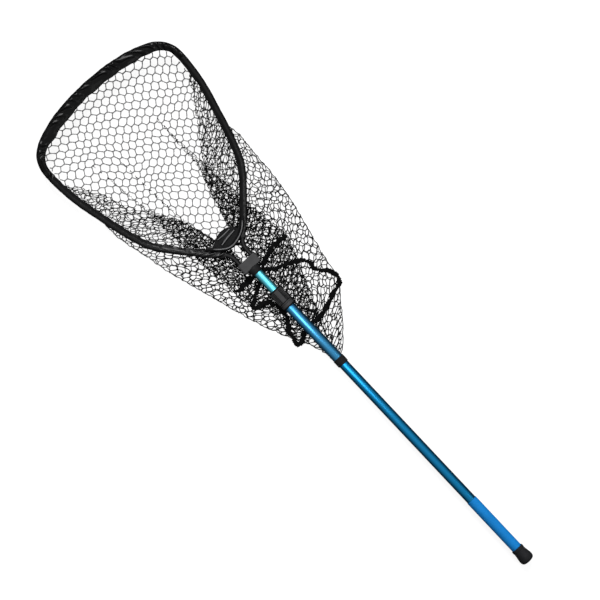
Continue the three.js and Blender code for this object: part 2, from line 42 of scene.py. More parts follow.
SHIFT = np.array([0.16, -8.03, 0.0])            # plan millimetres to the frame
SLOPE, AXIS_Z0 = 0.00779, 23.03
TH = math.atan(SLOPE)
CT, ST = math.cos(TH), math.sin(TH)


def axis_to_world(p):
    """Points beside the handle's axis, in millimetres, to metres in the frame."""
    p = np.asarray(p, float)
    out = np.empty_like(p)
    out[..., 0] = p[..., 0] * CT + p[..., 2] * ST + SHIFT[0]
    out[..., 1] = p[..., 1] + SHIFT[1]
    out[..., 2] = -p[..., 0] * ST + p[..., 2] * CT + AXIS_Z0
    return out * MM


def plan_to_world(p):
    """Points over the surface, in plan millimetres with a true height, to metres in the frame."""
    return (np.asarray(p, float) + SHIFT) * MM


def axis_z(x):
    return AXIS_Z0 - SLOPE * np.asarray(x, float)


# ---------------------------------------------------------------- small tools
def smoothstep(v, a, b):
    t = np.clip((np.asarray(v, float) - a) / (b - a), 0, 1)
    return t * t * (3 - 2 * t)


class Waves:
    """A smooth, seeded field: a sum of plane waves about one length."""

    def __init__(self, seed, length, count=14, spread=0.45):
        r = np.random.default_rng(seed)
        k = 2 * math.pi / (length * np.exp(r.uniform(-spread, spread, count)))
        a = r.uniform(0, 2 * math.pi, count)
        self.k = np.stack([k * np.cos(a), k * np.sin(a)], 1)
        self.phase = r.uniform(0, 2 * math.pi, count)
        self.gain = math.sqrt(2.0 / count)

    def __call__(self, x, y):
        x, y = np.asarray(x, float), np.asarray(y, float)
        s = np.zeros(np.broadcast(x, y).shape)
        for (kx, ky), p in zip(self.k, self.phase):
            s += np.sin(kx * x + ky * y + p)
        return s * self.gain


def catmull(points, per=40, closed=False):
    """Centripetal Catmull-Rom through the points, densely."""
    P = np.asarray(points, float)
    if P.shape[1] == 2:
        P = np.c_[P, np.zeros(len(P))]
    n = len(P)
    out = []
    last = n if closed else n - 1
    for i in range(last):
        p1, p2 = P[i % n], P[(i + 1) % n]
        p0 = P[(i - 1) % n] if closed or i > 0 else 2 * P[0] - P[1]
        p3 = P[(i + 2) % n] if closed or i < n - 2 else 2 * P[n - 1] - P[n - 2]
        d0 = max(np.linalg.norm(p1 - p0) ** 0.5, 1e-4)
        d1 = max(np.linalg.norm(p2 - p1) ** 0.5, 1e-4)
        d2 = max(np.linalg.norm(p3 - p2) ** 0.5, 1e-4)
        t1 = ((p1 - p0) / d0 - (p2 - p0) / (d0 + d1) + (p2 - p1) / d1) * d1
        t2 = ((p2 - p1) / d1 - (p3 - p1) / (d1 + d2) + (p3 - p2) / d2) * d1
        u = np.linspace(0, 1, per, endpoint=False)[:, None]
        out.append((2 * u**3 - 3 * u**2 + 1) * p1 + (u**3 - 2 * u**2 + u) * t1 + (-2 * u**3 + 3 * u**2) * p2 + (u**3 - u**2) * t2)
    if not closed:
        out.append(P[-1:])
    return np.concatenate(out)


def respace(line, step=None, count=None):
    d = np.r_[0, np.cumsum(np.linalg.norm(np.diff(line, axis=0), axis=1))]
    n = count or max(2, int(round(d[-1] / step)) + 1)
    s = np.linspace(0, d[-1], n)
    return np.stack([np.interp(s, d, line[:, i]) for i in range(line.shape[1])], 1), s


def make_mesh(name, verts, quads=None, tris=None, uv=None, smooth=True, sharp=None):
    """Verts in metres (N, 3); quads (F, 4); tris (F, 3); uv by corner, quads first."""
    me = bpy.data.meshes.new(name)
    verts = np.asarray(verts, np.float32)
    q = np.zeros((0, 4), np.int32) if quads is None else np.asarray(quads, np.int32)
    t = np.zeros((0, 3), np.int32) if tris is None else np.asarray(tris, np.int32)
    me.vertices.add(len(verts))
    me.vertices.foreach_set("co", verts.ravel())
    loops = np.r_[q.ravel(), t.ravel()].astype(np.int32)
    me.loops.add(len(loops))
    me.loops.foreach_set("vertex_index", loops)
    starts = np.r_[np.arange(len(q)) * 4, len(q) * 4 + np.arange(len(t)) * 3].astype(np.int32)
    me.polygons.add(len(starts))
    me.polygons.foreach_set("loop_start", starts)
    if uv is not None:
        layer = me.uv_layers.new(name="UVMap")
        layer.data.foreach_set("uv", np.asarray(uv, np.float32).ravel())
    me.update(calc_edges=True)
    me.validate()
    if smooth:
        me.polygons.foreach_set("use_smooth", np.ones(len(me.polygons), bool))
    if sharp is not None:
        me.set_sharp_from_angle(angle=math.radians(sharp))
    me.update()
    o = bpy.data.objects.new(name, me)
    bpy.context.scene.collection.objects.link(o)
    return o


def finish_piece(o, body, mat, replaces=()):
    o.data.materials.clear()
    o.data.materials.append(mat)
    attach(o, body)
    if replaces:
        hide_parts(*replaces)
    return o


def lathe(name, profile, sides=128, to_world=axis_to_world, sharp=32, wave=None):
    """A turned solid about the handle's axis; profile is [x, r] in millimetres, and closes on itself unless it starts and ends on the axis."""
    pr = np.asarray(profile, float)
    on_axis = pr[0, 1] < 1e-9 and pr[-1, 1] < 1e-9
    ring = pr[1:-1] if on_axis else pr
    n = len(ring)
    a = np.arange(sides) / sides * 2 * math.pi
    X = np.repeat(ring[:, 0:1], sides, 1)
    R = np.repeat(ring[:, 1:2], sides, 1)
    if wave is not None:
        R = R + wave(X, np.repeat(a[None], n, 0), R)
    V = np.stack([X, R * np.cos(a), R * np.sin(a)], -1).reshape(-1, 3)
    last = n - 1 if on_axis else n
    i = np.arange(last)[:, None]
    j = np.arange(sides)[None]
    j2, i2 = (j + 1) % sides, (i + 1) % n
    quads = np.stack([i * sides + j + 0 * i2, i2 * sides + j, i2 * sides + j2, i * sides + j2], -1).reshape(-1, 4)
    seg = np.r_[0, np.cumsum(np.linalg.norm(np.diff(np.r_[ring, ring[:1]], axis=0), axis=1))]
    u0, u1 = seg[:-1][:last], seg[1:][:last]
    uvq = np.zeros((last, sides, 4, 2))
    aa = np.arange(sides) / sides
    for c, (uu, dv) in enumerate([(u0, 0), (u1, 0), (u1, 1), (u0, 1)]):
        uvq[:, :, c, 0] = uu[:, None] * 0.01
        uvq[:, :, c, 1] = (aa + dv / sides)[None]
    tris, uvt = [], []
    if on_axis:
        V = np.r_[V, [[pr[0, 0], 0, 0]], [[pr[-1, 0], 0, 0]]]
        a0, a1 = n * sides, n * sides + 1
        for jj in range(sides):
            tris.append([a0, jj, (jj + 1) % sides])
            tris.append([a1, (n - 1) * sides + (jj + 1) % sides, (n - 1) * sides + jj])
            uvt += [[0, 0], [0.01, 0], [0, 0.01]] * 2
    # the faces are turned outward afterwards, by fix_normals
    o = make_mesh(name, to_world(V), quads, np.array(tris) if tris else None,
                  np.r_[uvq.reshape(-1, 2), np.array(uvt).reshape(-1, 2)], sharp=sharp)
    fix_normals(o)
    return o


def fix_normals(o):
    bm = bmesh.new()
    bm.from_mesh(o.data)
    bmesh.ops.recalc_face_normals(bm, faces=bm.faces)
    bm.to_mesh(o.data)
    bm.free()
    o.data.update()


def frames_along(P, closed=False, up=(0, 0, 1)):
    """Tangent, side and up vectors at each point of (..., n, 3) polylines."""
    T = np.empty_like(P)
    T[..., 1:-1, :] = P[..., 2:, :] - P[..., :-2, :]
    T[..., 0, :] = P[..., 1, :] - P[..., 0, :]
    T[..., -1, :] = P[..., -1, :] - P[..., -2, :]
    T /= np.maximum(np.linalg.norm(T, axis=-1, keepdims=True), 1e-12)
    up = np.broadcast_to(np.asarray(up, float), T.shape)
    side = np.cross(T, up)
    ln = np.linalg.norm(side, axis=-1, keepdims=True)
    side = np.where(ln < 0.15, np.cross(T, np.broadcast_to(np.array([0.0, 1.0, 0.2]), T.shape)), side)
    side /= np.maximum(np.linalg.norm(side, axis=-1, keepdims=True), 1e-12)
    return T, side, np.cross(side, T)


def strands(name, P, radius, sides=8, oval=0.2, twist=0.0, phase=None, seam_uv=1.0):
    """Many round strands at once. P is (E, n, 3) in metres, radius (E, n) in metres. Both ends are closed."""
    E, n, _ = P.shape
    T, S, U = frames_along(P)
    s = np.concatenate([np.zeros((E, 1)), np.cumsum(np.linalg.norm(np.diff(P, axis=1), axis=2), axis=1)], 1)
    ph = np.zeros(E) if phase is None else phase
    a = np.arange(sides) / sides * 2 * math.pi
    ang = a[None, None]
    tw = (ph[:, None] + twist * s)[..., None]
    rr = radius[..., None] * (1 + oval * np.cos(2 * (ang - tw)))
    V = P[:, :, None] + rr[..., None] * (np.cos(ang)[..., None] * S[:, :, None] + np.sin(ang)[..., None] * U[:, :, None])
    V = V.reshape(-1, 3)
    e = np.arange(E)[:, None, None] * n * sides
    i = np.arange(n - 1)[None, :, None] * sides
    j = np.arange(sides)[None, None]
    j2 = (j + 1) % sides
    quads = np.stack([e + i + j, e + i + j2, e + i + sides + j2, e + i + sides + j], -1).reshape(-1, 4)
    uv = np.zeros((E, n - 1, sides, 4, 2))
    for c, (di, dj) in enumerate([(0, 0), (0, 1), (1, 1), (1, 0)]):
        uv[:, :, :, c, 0] = (s[:, di:n - 1 + di, None] * 100) + ph[:, None, None]
        uv[:, :, :, c, 1] = (np.arange(sides) + dj)[None, None] / sides
    caps, capuv = [], []
    base = np.arange(E) * n * sides
    half = sides // 2 - 1
    for k in range(half):                        # the end faces, as a row of quads
        c0 = [0 if k == 0 else k, k + 1, sides - k - 2, sides - k - 1]
        c = [k, k + 1, sides - 2 - k, sides - 1 - k]
        caps.append(np.stack([base + v for v in c[::-1]], 1))
        caps.append(np.stack([base + (n - 1) * sides + v for v in c], 1))
    caps = np.concatenate(caps)
    capuv = np.zeros((len(caps) * 4, 2))
    return make_mesh(name, V, np.r_[quads, caps], None, np.r_[uv.reshape(-1, 2), capuv])


def sweep(name, line, section, closed_section=True, to_world=axis_to_world, up=(0, 0, 1), inward=True, sharp=None):
    """One closed section (n, m, 2) in millimetres swept along a planar line (n, 3). Section x is to the right of the way, y is up."""
    n, m = section.shape[:2]
    T, S, U = frames_along(line, up=up)
    V = line[:, None] + section[..., 0:1] * S[:, None] + section[..., 1:2] * U[:, None]
    i = np.arange(n - 1)[:, None] * m
    j = np.arange(m)[None]
    j2 = (j + 1) % m
    quads = np.stack([i + j, i + m + j, i + m + j2, i + j2], -1).reshape(-1, 4)
    s = np.r_[0, np.cumsum(np.linalg.norm(np.diff(line, axis=0), axis=1))]
    d = np.linalg.norm(np.diff(np.concatenate([section[n // 2], section[n // 2][:1]]), axis=0), axis=1)
    v = np.r_[0, np.cumsum(d)]
    uv = np.zeros((n - 1, m, 4, 2))
    for c, (di, dj) in enumerate([(0, 0), (1, 0), (1, 1), (0, 1)]):
        uv[:, :, c, 0] = s[di:n - 1 + di, None] * 0.1
        uv[:, :, c, 1] = v[dj:m + dj][None] * 0.1
    V = V.reshape(-1, 3)
    return V, quads, uv.reshape(-1, 2)


# ---------------------------------------------------------------- the hoop's line, as the CAD has it
THROAT_X, HOOP_YAW = -244.5, math.radians(-1.15)
HOOP_HALF = [
    (30, 61.6), (54.7, 84.0), (82, 108.3), (104, 126.3), (127.5, 142.2), (149, 152.0), (187, 164.9), (223, 175.0), (258, 183.4), (292, 192.2),
    (328, 199.4), (366, 203.8), (400, 205.4), (424, 203.4), (442, 196.6), (457, 184.2), (468, 168.6), (476.6, 148.5), (484.2, 125.8), (490, 102.0),
    (494.4, 76.0), (497.6, 46.0), (499.1, 16.0),
]
HOOP_LEG = [(-57, 17.8), (-43, 17.8), (-30, 17.8), (-18, 19.0), (-7, 24.2), (4, 34.2), (15, 46.6)]


def hoop_point(a, w, side):
    k = float(smoothstep(a, -10, 25))
    c, s = math.cos(HOOP_YAW * k), math.sin(HOOP_YAW * k)
    return (THROAT_X - a * c - side * w * s, -a * s + side * w * c)


_half = HOOP_LEG + HOOP_HALF
HOOP = catmull([hoop_point(a, w, -1) for a, w in _half] + [hoop_point(499.4, 0, 1)] + [hoop_point(a, w, 1) for a, w in _half[::-1]], 60)
HOOP, HOOP_S = respace(HOOP, step=1.2)
HOOP_D = -(HOOP[:, 0] - THROAT_X)
LEG_A = int(np.argmax(HOOP_D > 24))
LEG_B = len(HOOP) - 1 - int(np.argmax(HOOP_D[::-1] > 24))
FAR_A = int(np.argmax(HOOP_D > 395))
FAR_B = len(HOOP) - 1 - int(np.argmax(HOOP_D[::-1] > 395))

# ---------------------------------------------------------------- the flattened bag's outline and fold lines, plan millimetres
TAIL_UP = [(-456, 181.5), (-440, 186.6), (-360, 184.0), (-297.6, 180.8), (-219.4, 169.0), (-141.0, 151.3), (-62.8, 133.9), (-23.7, 127.9),
           (15.4, 96.6), (54.5, 67.4), (93.6, 30.1), (104, 17.5), (107.5, 9)]
TAIL_DOWN = [(-486, -181.0), (-448, -180.6), (-360, -161.0), (-297.6, -147.9), (-219.4, -124.4), (-141.0, -101.0), (-82.3, -83.3), (-23.7, -59.8),
             (35.2, -30.4), (80, -14.9), (103, -11.0), (107.5, -4.5)]
FOLD_UP = [
    (-631.8, 223.1), (-618.0, 209.3), (-569.7, 174.8), (-516.8, 140.3), (-466.2, 103.5), (-431.7, 79.3), (-420.2, 65.5), (-374.2, 48.3), (-328.2, 35.6),
    (-289.1, 24.1), (-259.2, 10.3), (-227.0, 5.8), (-29.2, 5.1), (120.3, 5.1),
]
FOLD_DN = [
    (-631.8, -197.8), (-608.8, -182.8), (-569.7, -154.1), (-523.7, -129.9), (-489.2, -115.0), (-454.7, -101.2), (-420.2, -80.5), (-392.6, -62.1),
    (-369.6, -47.1), (-328.2, -32.2), (-286.8, -20.7), (-259.2, -9.2), (-227.0, -5.8), (-29.2, -5.1), (120.3, -5.1),
]
PLEATS = {
    "up": (
        [(-595.0, 74.8), (-512.2, 69.0), (-431.7, 65.1), (-374.2, 47.1), (-328.2, 34.5), (-286.8, 23.0), (-227.0, 6.9), (-98.2, 5.8), (28.3, 5.8)],
        [(-595.0, 76.4), (-512.2, 77.0), (-431.7, 83.9), (-351.2, 90.8), (-286.8, 96.6), (-194.8, 108.1), (-174.1, 109.2), (-98.2, 79.3), (-29.2, 52.9), (28.3, 26.4)],
    ),
    "down": (
        [(-620.3, -109.9), (-500.7, -92.9), (-443.2, -83.9), (-397.2, -60.9), (-369.6, -46.0), (-328.2, -32.2), (-286.8, -20.7), (-227.0, -6.9), (-98.2, -5.8), (35.2, -5.8)],
        [(-620.3, -111.8), (-500.7, -98.0), (-431.7, -92.0), (-351.2, -87.4), (-286.8, -82.8), (-201.7, -74.8), (-109.7, -65.5), (-75.2, -40.2), (-6.2, -47.1), (35.2, -32.2)],
    ),
    "thin": (
        [(-599.6, -55.2), (-443.2, -46.9), (-374.2, -40.9), (-339.7, -33.3)],
        [(-599.6, -56.6), (-443.2, -52.9), (-374.2, -50.1), (-339.7, -41.4)],
    ),
}
BRIDGE = [
    (-277, 66), (-269, 60), (-260, 52), (-252, 41), (-246, 28.5), (-241.8, 14), (-240.3, 0), (-243.6, -14), (-248.4, -22), (-254.6, -30), (-266, -42.5),
    (-279, -54), (-284, -47), (-272.5, -37), (-277, -27), (-283, -17), (-286.6, -6), (-287.6, 4), (-286.2, 14), (-282.5, 23), (-276.5, 30.5),
    (-267, 36), (-272, 48), (-283, 59),
]


class Line:
    """Nearest point and side on an open or closed polyline."""

    def __init__(self, pts, closed=False):
        P = np.asarray(pts, float)[:, :2]
        self.a = P if closed else P[:-1]
        self.b = np.roll(P, -1, 0) if closed else P[1:]
        self.d = self.b - self.a
        self.l2 = np.maximum((self.d**2).sum(1), 1e-12)

    def near(self, x, y):
        shape = np.shape(x)
        p = np.stack([np.ravel(x), np.ravel(y)], 1)
        dist, point, side = np.empty(len(p)), np.empty((len(p), 2)), np.empty(len(p))
        for c in range(0, len(p), 20000):
            q = p[c:c + 20000]
            w = q[:, None] - self.a[None]
            t = np.clip((w * self.d[None]).sum(2) / self.l2[None], 0, 1)
            n = self.a[None] + t[..., None] * self.d[None]
            e = ((q[:, None] - n)**2).sum(2)
            i = e.argmin(1)
            k = np.arange(len(q))
            dist[c:c + 20000] = np.sqrt(e[k, i])
            point[c:c + 20000] = n[k, i]
            side[c:c + 20000] = np.sign(self.d[i, 0] * w[k, i, 1] - self.d[i, 1] * w[k, i, 0])
        return dist.reshape(shape), point.reshape(shape + (2,)), side.reshape(shape)


def inside(poly, x, y):
    P = np.asarray(poly, float)[:, :2]
    x, y = np.asarray(x, float), np.asarray(y, float)
    c = np.zeros(x.shape, bool)
    for (x0, y0), (x1, y1) in zip(P, np.roll(P, -1, 0)):
        if y0 != y1:
            c ^= ((y0 > y) != (y1 > y)) & (x < (x1 - x0) * (y - y0) / (y1 - y0) + x0)
    return c


_rim = catmull([hoop_point(a, w, -1) for a, w in HOOP_HALF] + [hoop_point(499.4, 0, 1)] + [hoop_point(a, w, 1) for a, w in HOOP_HALF[::-1]], 4)[:, :2]
_far = _rim[(_rim[:, 0] < np.where(_rim[:, 1] < 0, -505, -474))]
OUTLINE = np.r_[_far, catmull(TAIL_UP, 4)[:, :2], catmull(TAIL_DOWN, 4)[::-1, :2]]
outline = Line(OUTLINE, True)
hoop_line = Line(_rim)
HOOP_LOOP = np.r_[_rim, np.array([(-262, 43), (-254, 28), (-249.5, 13), (-248, 0), (-249.5, -13), (-254, -28), (-262, -43)])]
fold_up, fold_dn = Line(catmull(FOLD_UP, 4)), Line(catmull(FOLD_DN, 4))
ATTACH_UP, ATTACH_DN = -613.0, -609.0           # the rim holds the bag's back layer beyond these

low_x, low_y = Waves(11, 150), Waves(12, 150)
mid_x, mid_y = Waves(21, 46), Waves(22, 46)
fine_x, fine_y = Waves(31, 21), Waves(32, 21)
hill, ripple = Waves(41, 60), Waves(42, 24)


def z_cap(x, y):
    """How far the flattened bag may rise: little under the handle, more beside it and under the hoop."""
    free = np.maximum(smoothstep(np.abs(y), 20, 50), smoothstep(-x, 190, 235))
    return 0.46 + 0.54 * free


def graph(points, sigma=7.0, step=2.0):
    """A line over x as a smooth function y(x)."""
    p = np.asarray(points, float)[:, :2]
    p = p[np.argsort(p[:, 0])]
    xs = np.arange(p[0, 0] - 30, p[-1, 0] + 30, step)
    ys = np.interp(xs, p[:, 0], p[:, 1])
    k = np.exp(-0.5 * (np.arange(-12, 13) * step / sigma) ** 2)
    ys = np.convolve(np.pad(ys, 12, mode="edge"), k / k.sum(), mode="valid")
    return lambda x: np.interp(x, xs, ys)


_up = OUTLINE[(OUTLINE[:, 1] > 0) & (OUTLINE[:, 0] > -645)]
_dn = OUTLINE[(OUTLINE[:, 1] < 0) & (OUTLINE[:, 0] > -645)]
EDGE = {1: graph(_up), -1: graph(_dn)}
TURN_BACK = {1: graph(catmull(FOLD_UP, 4), 4.0), -1: graph(catmull(FOLD_DN, 4), 4.0)}
PRESS = 0.84                                    # how far the loose layers are pushed together


def fold_bag(u, v):
    """The bag's cloth, from its unfolded sheet to where it lies: x, y, z in plan millimetres, its layer and whether it exists."""
    e_up, e_dn = EDGE[1](u), EDGE[-1](u)
    over = np.maximum(v - e_up, e_dn - v)
    loose = smoothstep(over, -12, 25)
    calm = 1 - 0.55 * smoothstep(-u, 600, 700)
    wall = smoothstep(-u, 240, 300) * loose
    a_mid, a_fine = 0.55 + 1.0 * loose + 0.2 * wall, 0.12 + 0.95 * loose + 0.35 * wall
    x = u + 2.6 * calm * low_x(u, v) + a_mid * mid_x(u, v) + a_fine * fine_x(u, v)
    t = v + 2.6 * calm * low_y(u, v) + a_mid * mid_y(u, v) + a_fine * fine_y(u, v)
    y = t.copy()
    layer = np.zeros(np.shape(u), int)
    ok = np.ones(np.shape(u), bool)
    upper = t > 0
    far = x < np.where(upper, ATTACH_UP, ATTACH_DN)
    hd = np.full(np.shape(u), 999.0)
    near_rim = (x < -480) & (x > -790) & (np.abs(t) < 260)
    if near_rim.any():
        hd[near_rim] = hoop_line.near(x[near_rim], t[near_rim])[0]
    ok &= ~(far & (~inside(HOOP_LOOP, x, t) | (hd < 12.5)))
    z0 = 1.0 + 0.45 * (1 + hill(u, v)) + 0.25 * ripple(u, v)
    z1 = 6.0 + 1.3 * hill(u, v) + 1.0 * ripple(u, v)
    z = z0.copy()
    for sgn in (1, -1):
        e, f = EDGE[sgn](x), TURN_BACK[sgn](x)
        past = sgn * (t - e)
        side = upper if sgn > 0 else ~upper
        z = np.where(side & (past <= 0), z + 2.2 * np.exp(np.minimum(past, 0) / 5.0) * (1 - smoothstep(-x, 590, 640)), z)
        one = (past > 0) & side & ~far
        y1 = e - sgn * PRESS * past
        room = sgn * (y1 - f)
        two = one & (room < 0) & (x < -262)
        cut = one & (room < 0) & ~two
        y2 = f + sgn * 0.82 * np.abs(room)
        y = np.where(one, y1, y)
        y = np.where(two, y2, y)
        layer = np.where(one, 1, layer)
        layer = np.where(two, 2, layer)
        zz = z1 - 2.2 * np.exp(-PRESS * np.maximum(past, 0) / 5.0) + 1.0 * np.exp(-np.maximum(room, 0) / 5.0)
        z = np.where(one, zz, z)
        ok &= ~cut
        if two.any():
            xs, ys = x[two], y2[two]
            dd = 0.82 * np.abs(room[two])
            rd, _, _ = hoop_line.near(xs, ys)
            hold = inside(HOOP_LOOP, xs, ys) & (rd > 9.0) & ~inside(BRIDGE, xs, ys)
            zr = axis_z(xs) - 3.0
            q = np.clip(dd / np.maximum(dd + np.maximum(rd - 9.0, 0), 1), 0, 1)
            z[two] = 8.0 + (zr - 8.0) * q**1.6 + 0.9 * ripple(xs, ys) * (1 - q) - np.exp(-dd / 5.0)
            ok[two] &= hold
    # the back layer comes down from the far rim to the surface
    lift = np.where(layer == 0, np.exp(-(np.maximum(hd - 12.5, 0) / 30) ** 1.15), 0)
    z = z + (axis_z(x) - 3.2 - z) * lift * smoothstep(-x, 590, 640)
    z = np.where(layer < 2, z * np.where(layer == 0, np.maximum(z_cap(x, y), 0.75), z_cap(x, y)), z)
    return x, y, np.maximum(z, 1.0), layer, ok, y > 0


def columns():
    """Column positions of the mesh, closer together towards the far rim."""
    u, out = 345.0, []
    while u > -775:
        out.append(u)
        u -= 10.45 * (1 - 0.2 * float(smoothstep(-u, 640, 745)))
    return np.array(out[::-1])


COLS = columns()


def row_scale(u):
    return np.exp(0.00058 * np.clip(-351 - u, 0, None)) * (1 + 0.07 * smoothstep(u, -330, -200))


def lattice(rows, pitch=13.1, upright=7.0, jitter=0.5, seed=5, fan=True, cols=None, centre=-27.0):
    """Nodes and edges of the hexagonal mesh in unfolded coordinates. Uprights are the joined, thicker sides of a cell."""
    cols = COLS if cols is None else cols
    r = np.random.default_rng(seed)
    i, j = np.meshgrid(np.arange(len(cols)), rows, indexing="ij")
    sign = np.where((i + j) % 2 == 0, 1, -1)
    u = cols[i]
    k = row_scale(u) if fan else np.ones_like(u)
    v = centre * (1 if fan else 0) + (j * pitch + sign * (pitch - upright) / 2) * k
    u = u + r.normal(0, jitter, u.shape)
    v = v + r.normal(0, jitter, u.shape)
    n = np.arange(u.size).reshape(u.shape)
    zig = np.stack([n[:-1].ravel(), n[1:].ravel()], 1)
    m = sign[:, :-1] > 0
    up = np.stack([n[:, :-1][m], n[:, 1:][m]], 1)
    return u.ravel(), v.ravel(), np.r_[zig, up], np.r_[np.zeros(len(zig)), np.ones(len(up))]


def run_edges(u, v, edges, kind, mapper, seed, slack, n=7):
    """Each edge as a short polyline on the folded cloth, cut where the cloth ends."""
    r = np.random.default_rng(seed)
    node_ok = mapper(u, v)[4]
    live = node_ok[edges].any(1)
    edges, kind = edges[live], kind[live]
    a = np.stack([u[edges[:, 0]], v[edges[:, 0]]], 1)
    b = np.stack([u[edges[:, 1]], v[edges[:, 1]]], 1)
    start, end = node_ok[edges[:, 0]], node_ok[edges[:, 1]]
    flip = ~start & end
    a2, b2 = np.where(flip[:, None], b, a), np.where(flip[:, None], a, b)
    frac = np.ones(len(a2))
    part = ~(start & end)
    m = 17
    t = np.linspace(0, 1, m)
    ap, dp = a2[part], (b2 - a2)[part]
    okk = mapper(ap[:, None, 0] + dp[:, None, 0] * t, ap[:, None, 1] + dp[:, None, 1] * t)[4]
    first_bad = np.where(okk.all(1), m, (~okk).argmax(1))
    frac[part] = np.clip((first_bad - 1) / (m - 1), 0, 1)
    good = frac > 0.12
    a2, b2, frac, kind2 = a2[good], b2[good], frac[good], kind[good]
    d = b2 - a2
    perp = np.stack([-d[:, 1], d[:, 0]], 1) / np.maximum(np.linalg.norm(d, axis=1, keepdims=True), 1e-9)
    bow = r.normal(0, 1, len(d))
    tt = np.linspace(0, 1, n)[None] * frac[:, None]
    s = slack(a2[:, 0], a2[:, 1]) * np.where(kind2 > 0, 0.4, 1.0)
    off = (4 * tt * (1 - tt)) * (bow * s)[:, None]
    uu = a2[:, None, 0] + d[:, None, 0] * tt + perp[:, None, 0] * off
    vv = a2[:, None, 1] + d[:, None, 1] * tt + perp[:, None, 1] * off
    x, y, z, layer, ok, upper = mapper(uu, vv)
    P = np.stack([x, y, z], -1)
    span = np.linalg.norm(np.diff(P, axis=1), axis=2)
    fine = (span.sum(1) < 34) & (span.max(1) < 14)
    whole = ok.mean(1) > 0.7
    sel = fine & whole
    return P[sel], kind2[sel], layer[sel][:, n // 2], upper[sel][:, n // 2], np.stack([uu, vv], -1)[sel]


def net_piece(name, P, kind, mat, seed, thin=0.93, thick=1.3, F=None):
    E, n, _ = P.shape
    s = np.concatenate([np.zeros((E, 1)), np.cumsum(np.linalg.norm(np.diff(P, axis=1), axis=2), axis=1)], 1)
    L = s[:, -1:]
    r = np.where(kind > 0, thick, thin)[:, None]
    swell = 1 + 0.32 * (np.exp(-s / 1.3) + np.exp(-(L - s) / 1.3)) * np.where(kind > 0, 0.6, 1.0)[:, None]
    g = np.random.default_rng(seed)
    rad = r * swell * g.uniform(0.93, 1.08, (E, 1))
    if "front_" in name:
        # inside the mouth the cords of the upper layer are finer
        rad = rad * ((0.84 if "upper" in name else 0.72) + (0.16 if "upper" in name else 0.28) * smoothstep(P[..., 0], -350, -250))
    if "pleat_" in name and "thin" not in name:
        # the pleat opens out towards the rim, where its cords are pulled tight and thin
        rad = rad * (0.55 + 0.45 * smoothstep(P[..., 0], -480, -290))
    P = np.concatenate([P[..., :2], np.maximum(P[..., 2:], 1.0 + 0.45 * rad[..., None])], -1)
    o = strands(name, plan_to_world(P), rad * MM, sides=8, oval=0.2, twist=900.0, phase=g.uniform(0, 6.28, E))
    finish_piece(o, "head", mat)
    return o


# ---------------------------------------------------------------- materials
class Mat:
    """A procedural material on one Principled shader."""

    def __init__(self, name, **sockets):
        self.m = bpy.data.materials.new(name)
        self.m.use_nodes = True
        self.t = self.m.node_tree
        self.bsdf = self.t.nodes["Principled BSDF"]
        self.coord = None
        for k, v in sockets.items():
            k = k.replace("_", " ")
            k = {"IOR Level": "Specular IOR Level"}.get(k, k)
            self.bsdf.inputs[k].default_value = (*v, 1) if isinstance(v, tuple) and len(v) == 3 else v

    def node(self, kind, **values):
        n = self.t.nodes.new(kind)
        for k, v in values.items():
            if k in n.inputs:
                n.inputs[k].default_value = v
            elif k.replace("_", " ") in n.inputs:
                n.inputs[k.replace("_", " ")].default_value = v
            else:
                setattr(n, k, v)
        return n

    def link(self, a, b):
        self.t.links.new(a, b)

    def where(self, space="Object", scale=(1, 1, 1), rot=(0, 0, 0)):
        if self.coord is None:
            self.coord = self.node("ShaderNodeTexCoord")
        mp = self.node("ShaderNodeMapping")
        mp.inputs["Scale"].default_value = scale
        mp.inputs["Rotation"].default_value = rot
        self.link(self.coord.outputs[space], mp.inputs["Vector"])
        return mp.outputs["Vector"]

    def noise(self, vec, scale, detail=3.0, rough=0.55):
        n = self.node("ShaderNodeTexNoise")
        n.inputs["Scale"].default_value = scale
        n.inputs["Detail"].default_value = detail
        n.inputs["Roughness"].default_value = rough
        self.link(vec, n.inputs["Vector"])
        return n.outputs["Fac"]

    def wave(self, vec, scale, distortion=0.0, profile="SIN", direction="X", kind="BANDS"):
        n = self.node("ShaderNodeTexWave")
        n.wave_type = kind
        n.bands_direction = direction
        n.wave_profile = profile
        n.inputs["Scale"].default_value = scale
        n.inputs["Distortion"].default_value = distortion
        self.link(vec, n.inputs["Vector"])
        return n.outputs["Fac"]

    def math(self, op, a, b):
        n = self.node("ShaderNodeMath")
        n.operation = op
        for s, v in zip(n.inputs, (a, b)):
            if isinstance(v, (int, float)):
                s.default_value = v
            else:
                self.link(v, s)
        return n.outputs[0]

    def ramp(self, fac, stops):
        n = self.node("ShaderNodeValToRGB")
        e = n.color_ramp.elements
        while len(e) < len(stops):
            e.new(0.5)
        for s, (p, c) in zip(e, stops):
            s.position = p
            s.color = (*c, 1) if len(c) == 3 else c
        self.link(fac, n.inputs["Fac"])
        return n.outputs["Color"]

    def span(self, fac, lo, hi, a=0.3, b=0.7):
        n = self.node("ShaderNodeMapRange")
        n.inputs["From Min"].default_value = a
        n.inputs["From Max"].default_value = b
        n.inputs["To Min"].default_value = lo
        n.inputs["To Max"].default_value = hi
        self.link(fac, n.inputs["Value"])
        return n.outputs["Result"]

    def bump(self, fac, strength, distance=0.0004, onto=None):
        n = self.node("ShaderNodeBump")
        n.inputs["Strength"].default_value = strength
        n.inputs["Distance"].default_value = distance
        self.link(fac, n.inputs["Height"])
        if onto is not None:
            self.link(onto, n.inputs["Normal"])
        return n.outputs["Normal"]

    def set(self, socket, value):
        self.link(value, self.bsdf.inputs[socket])


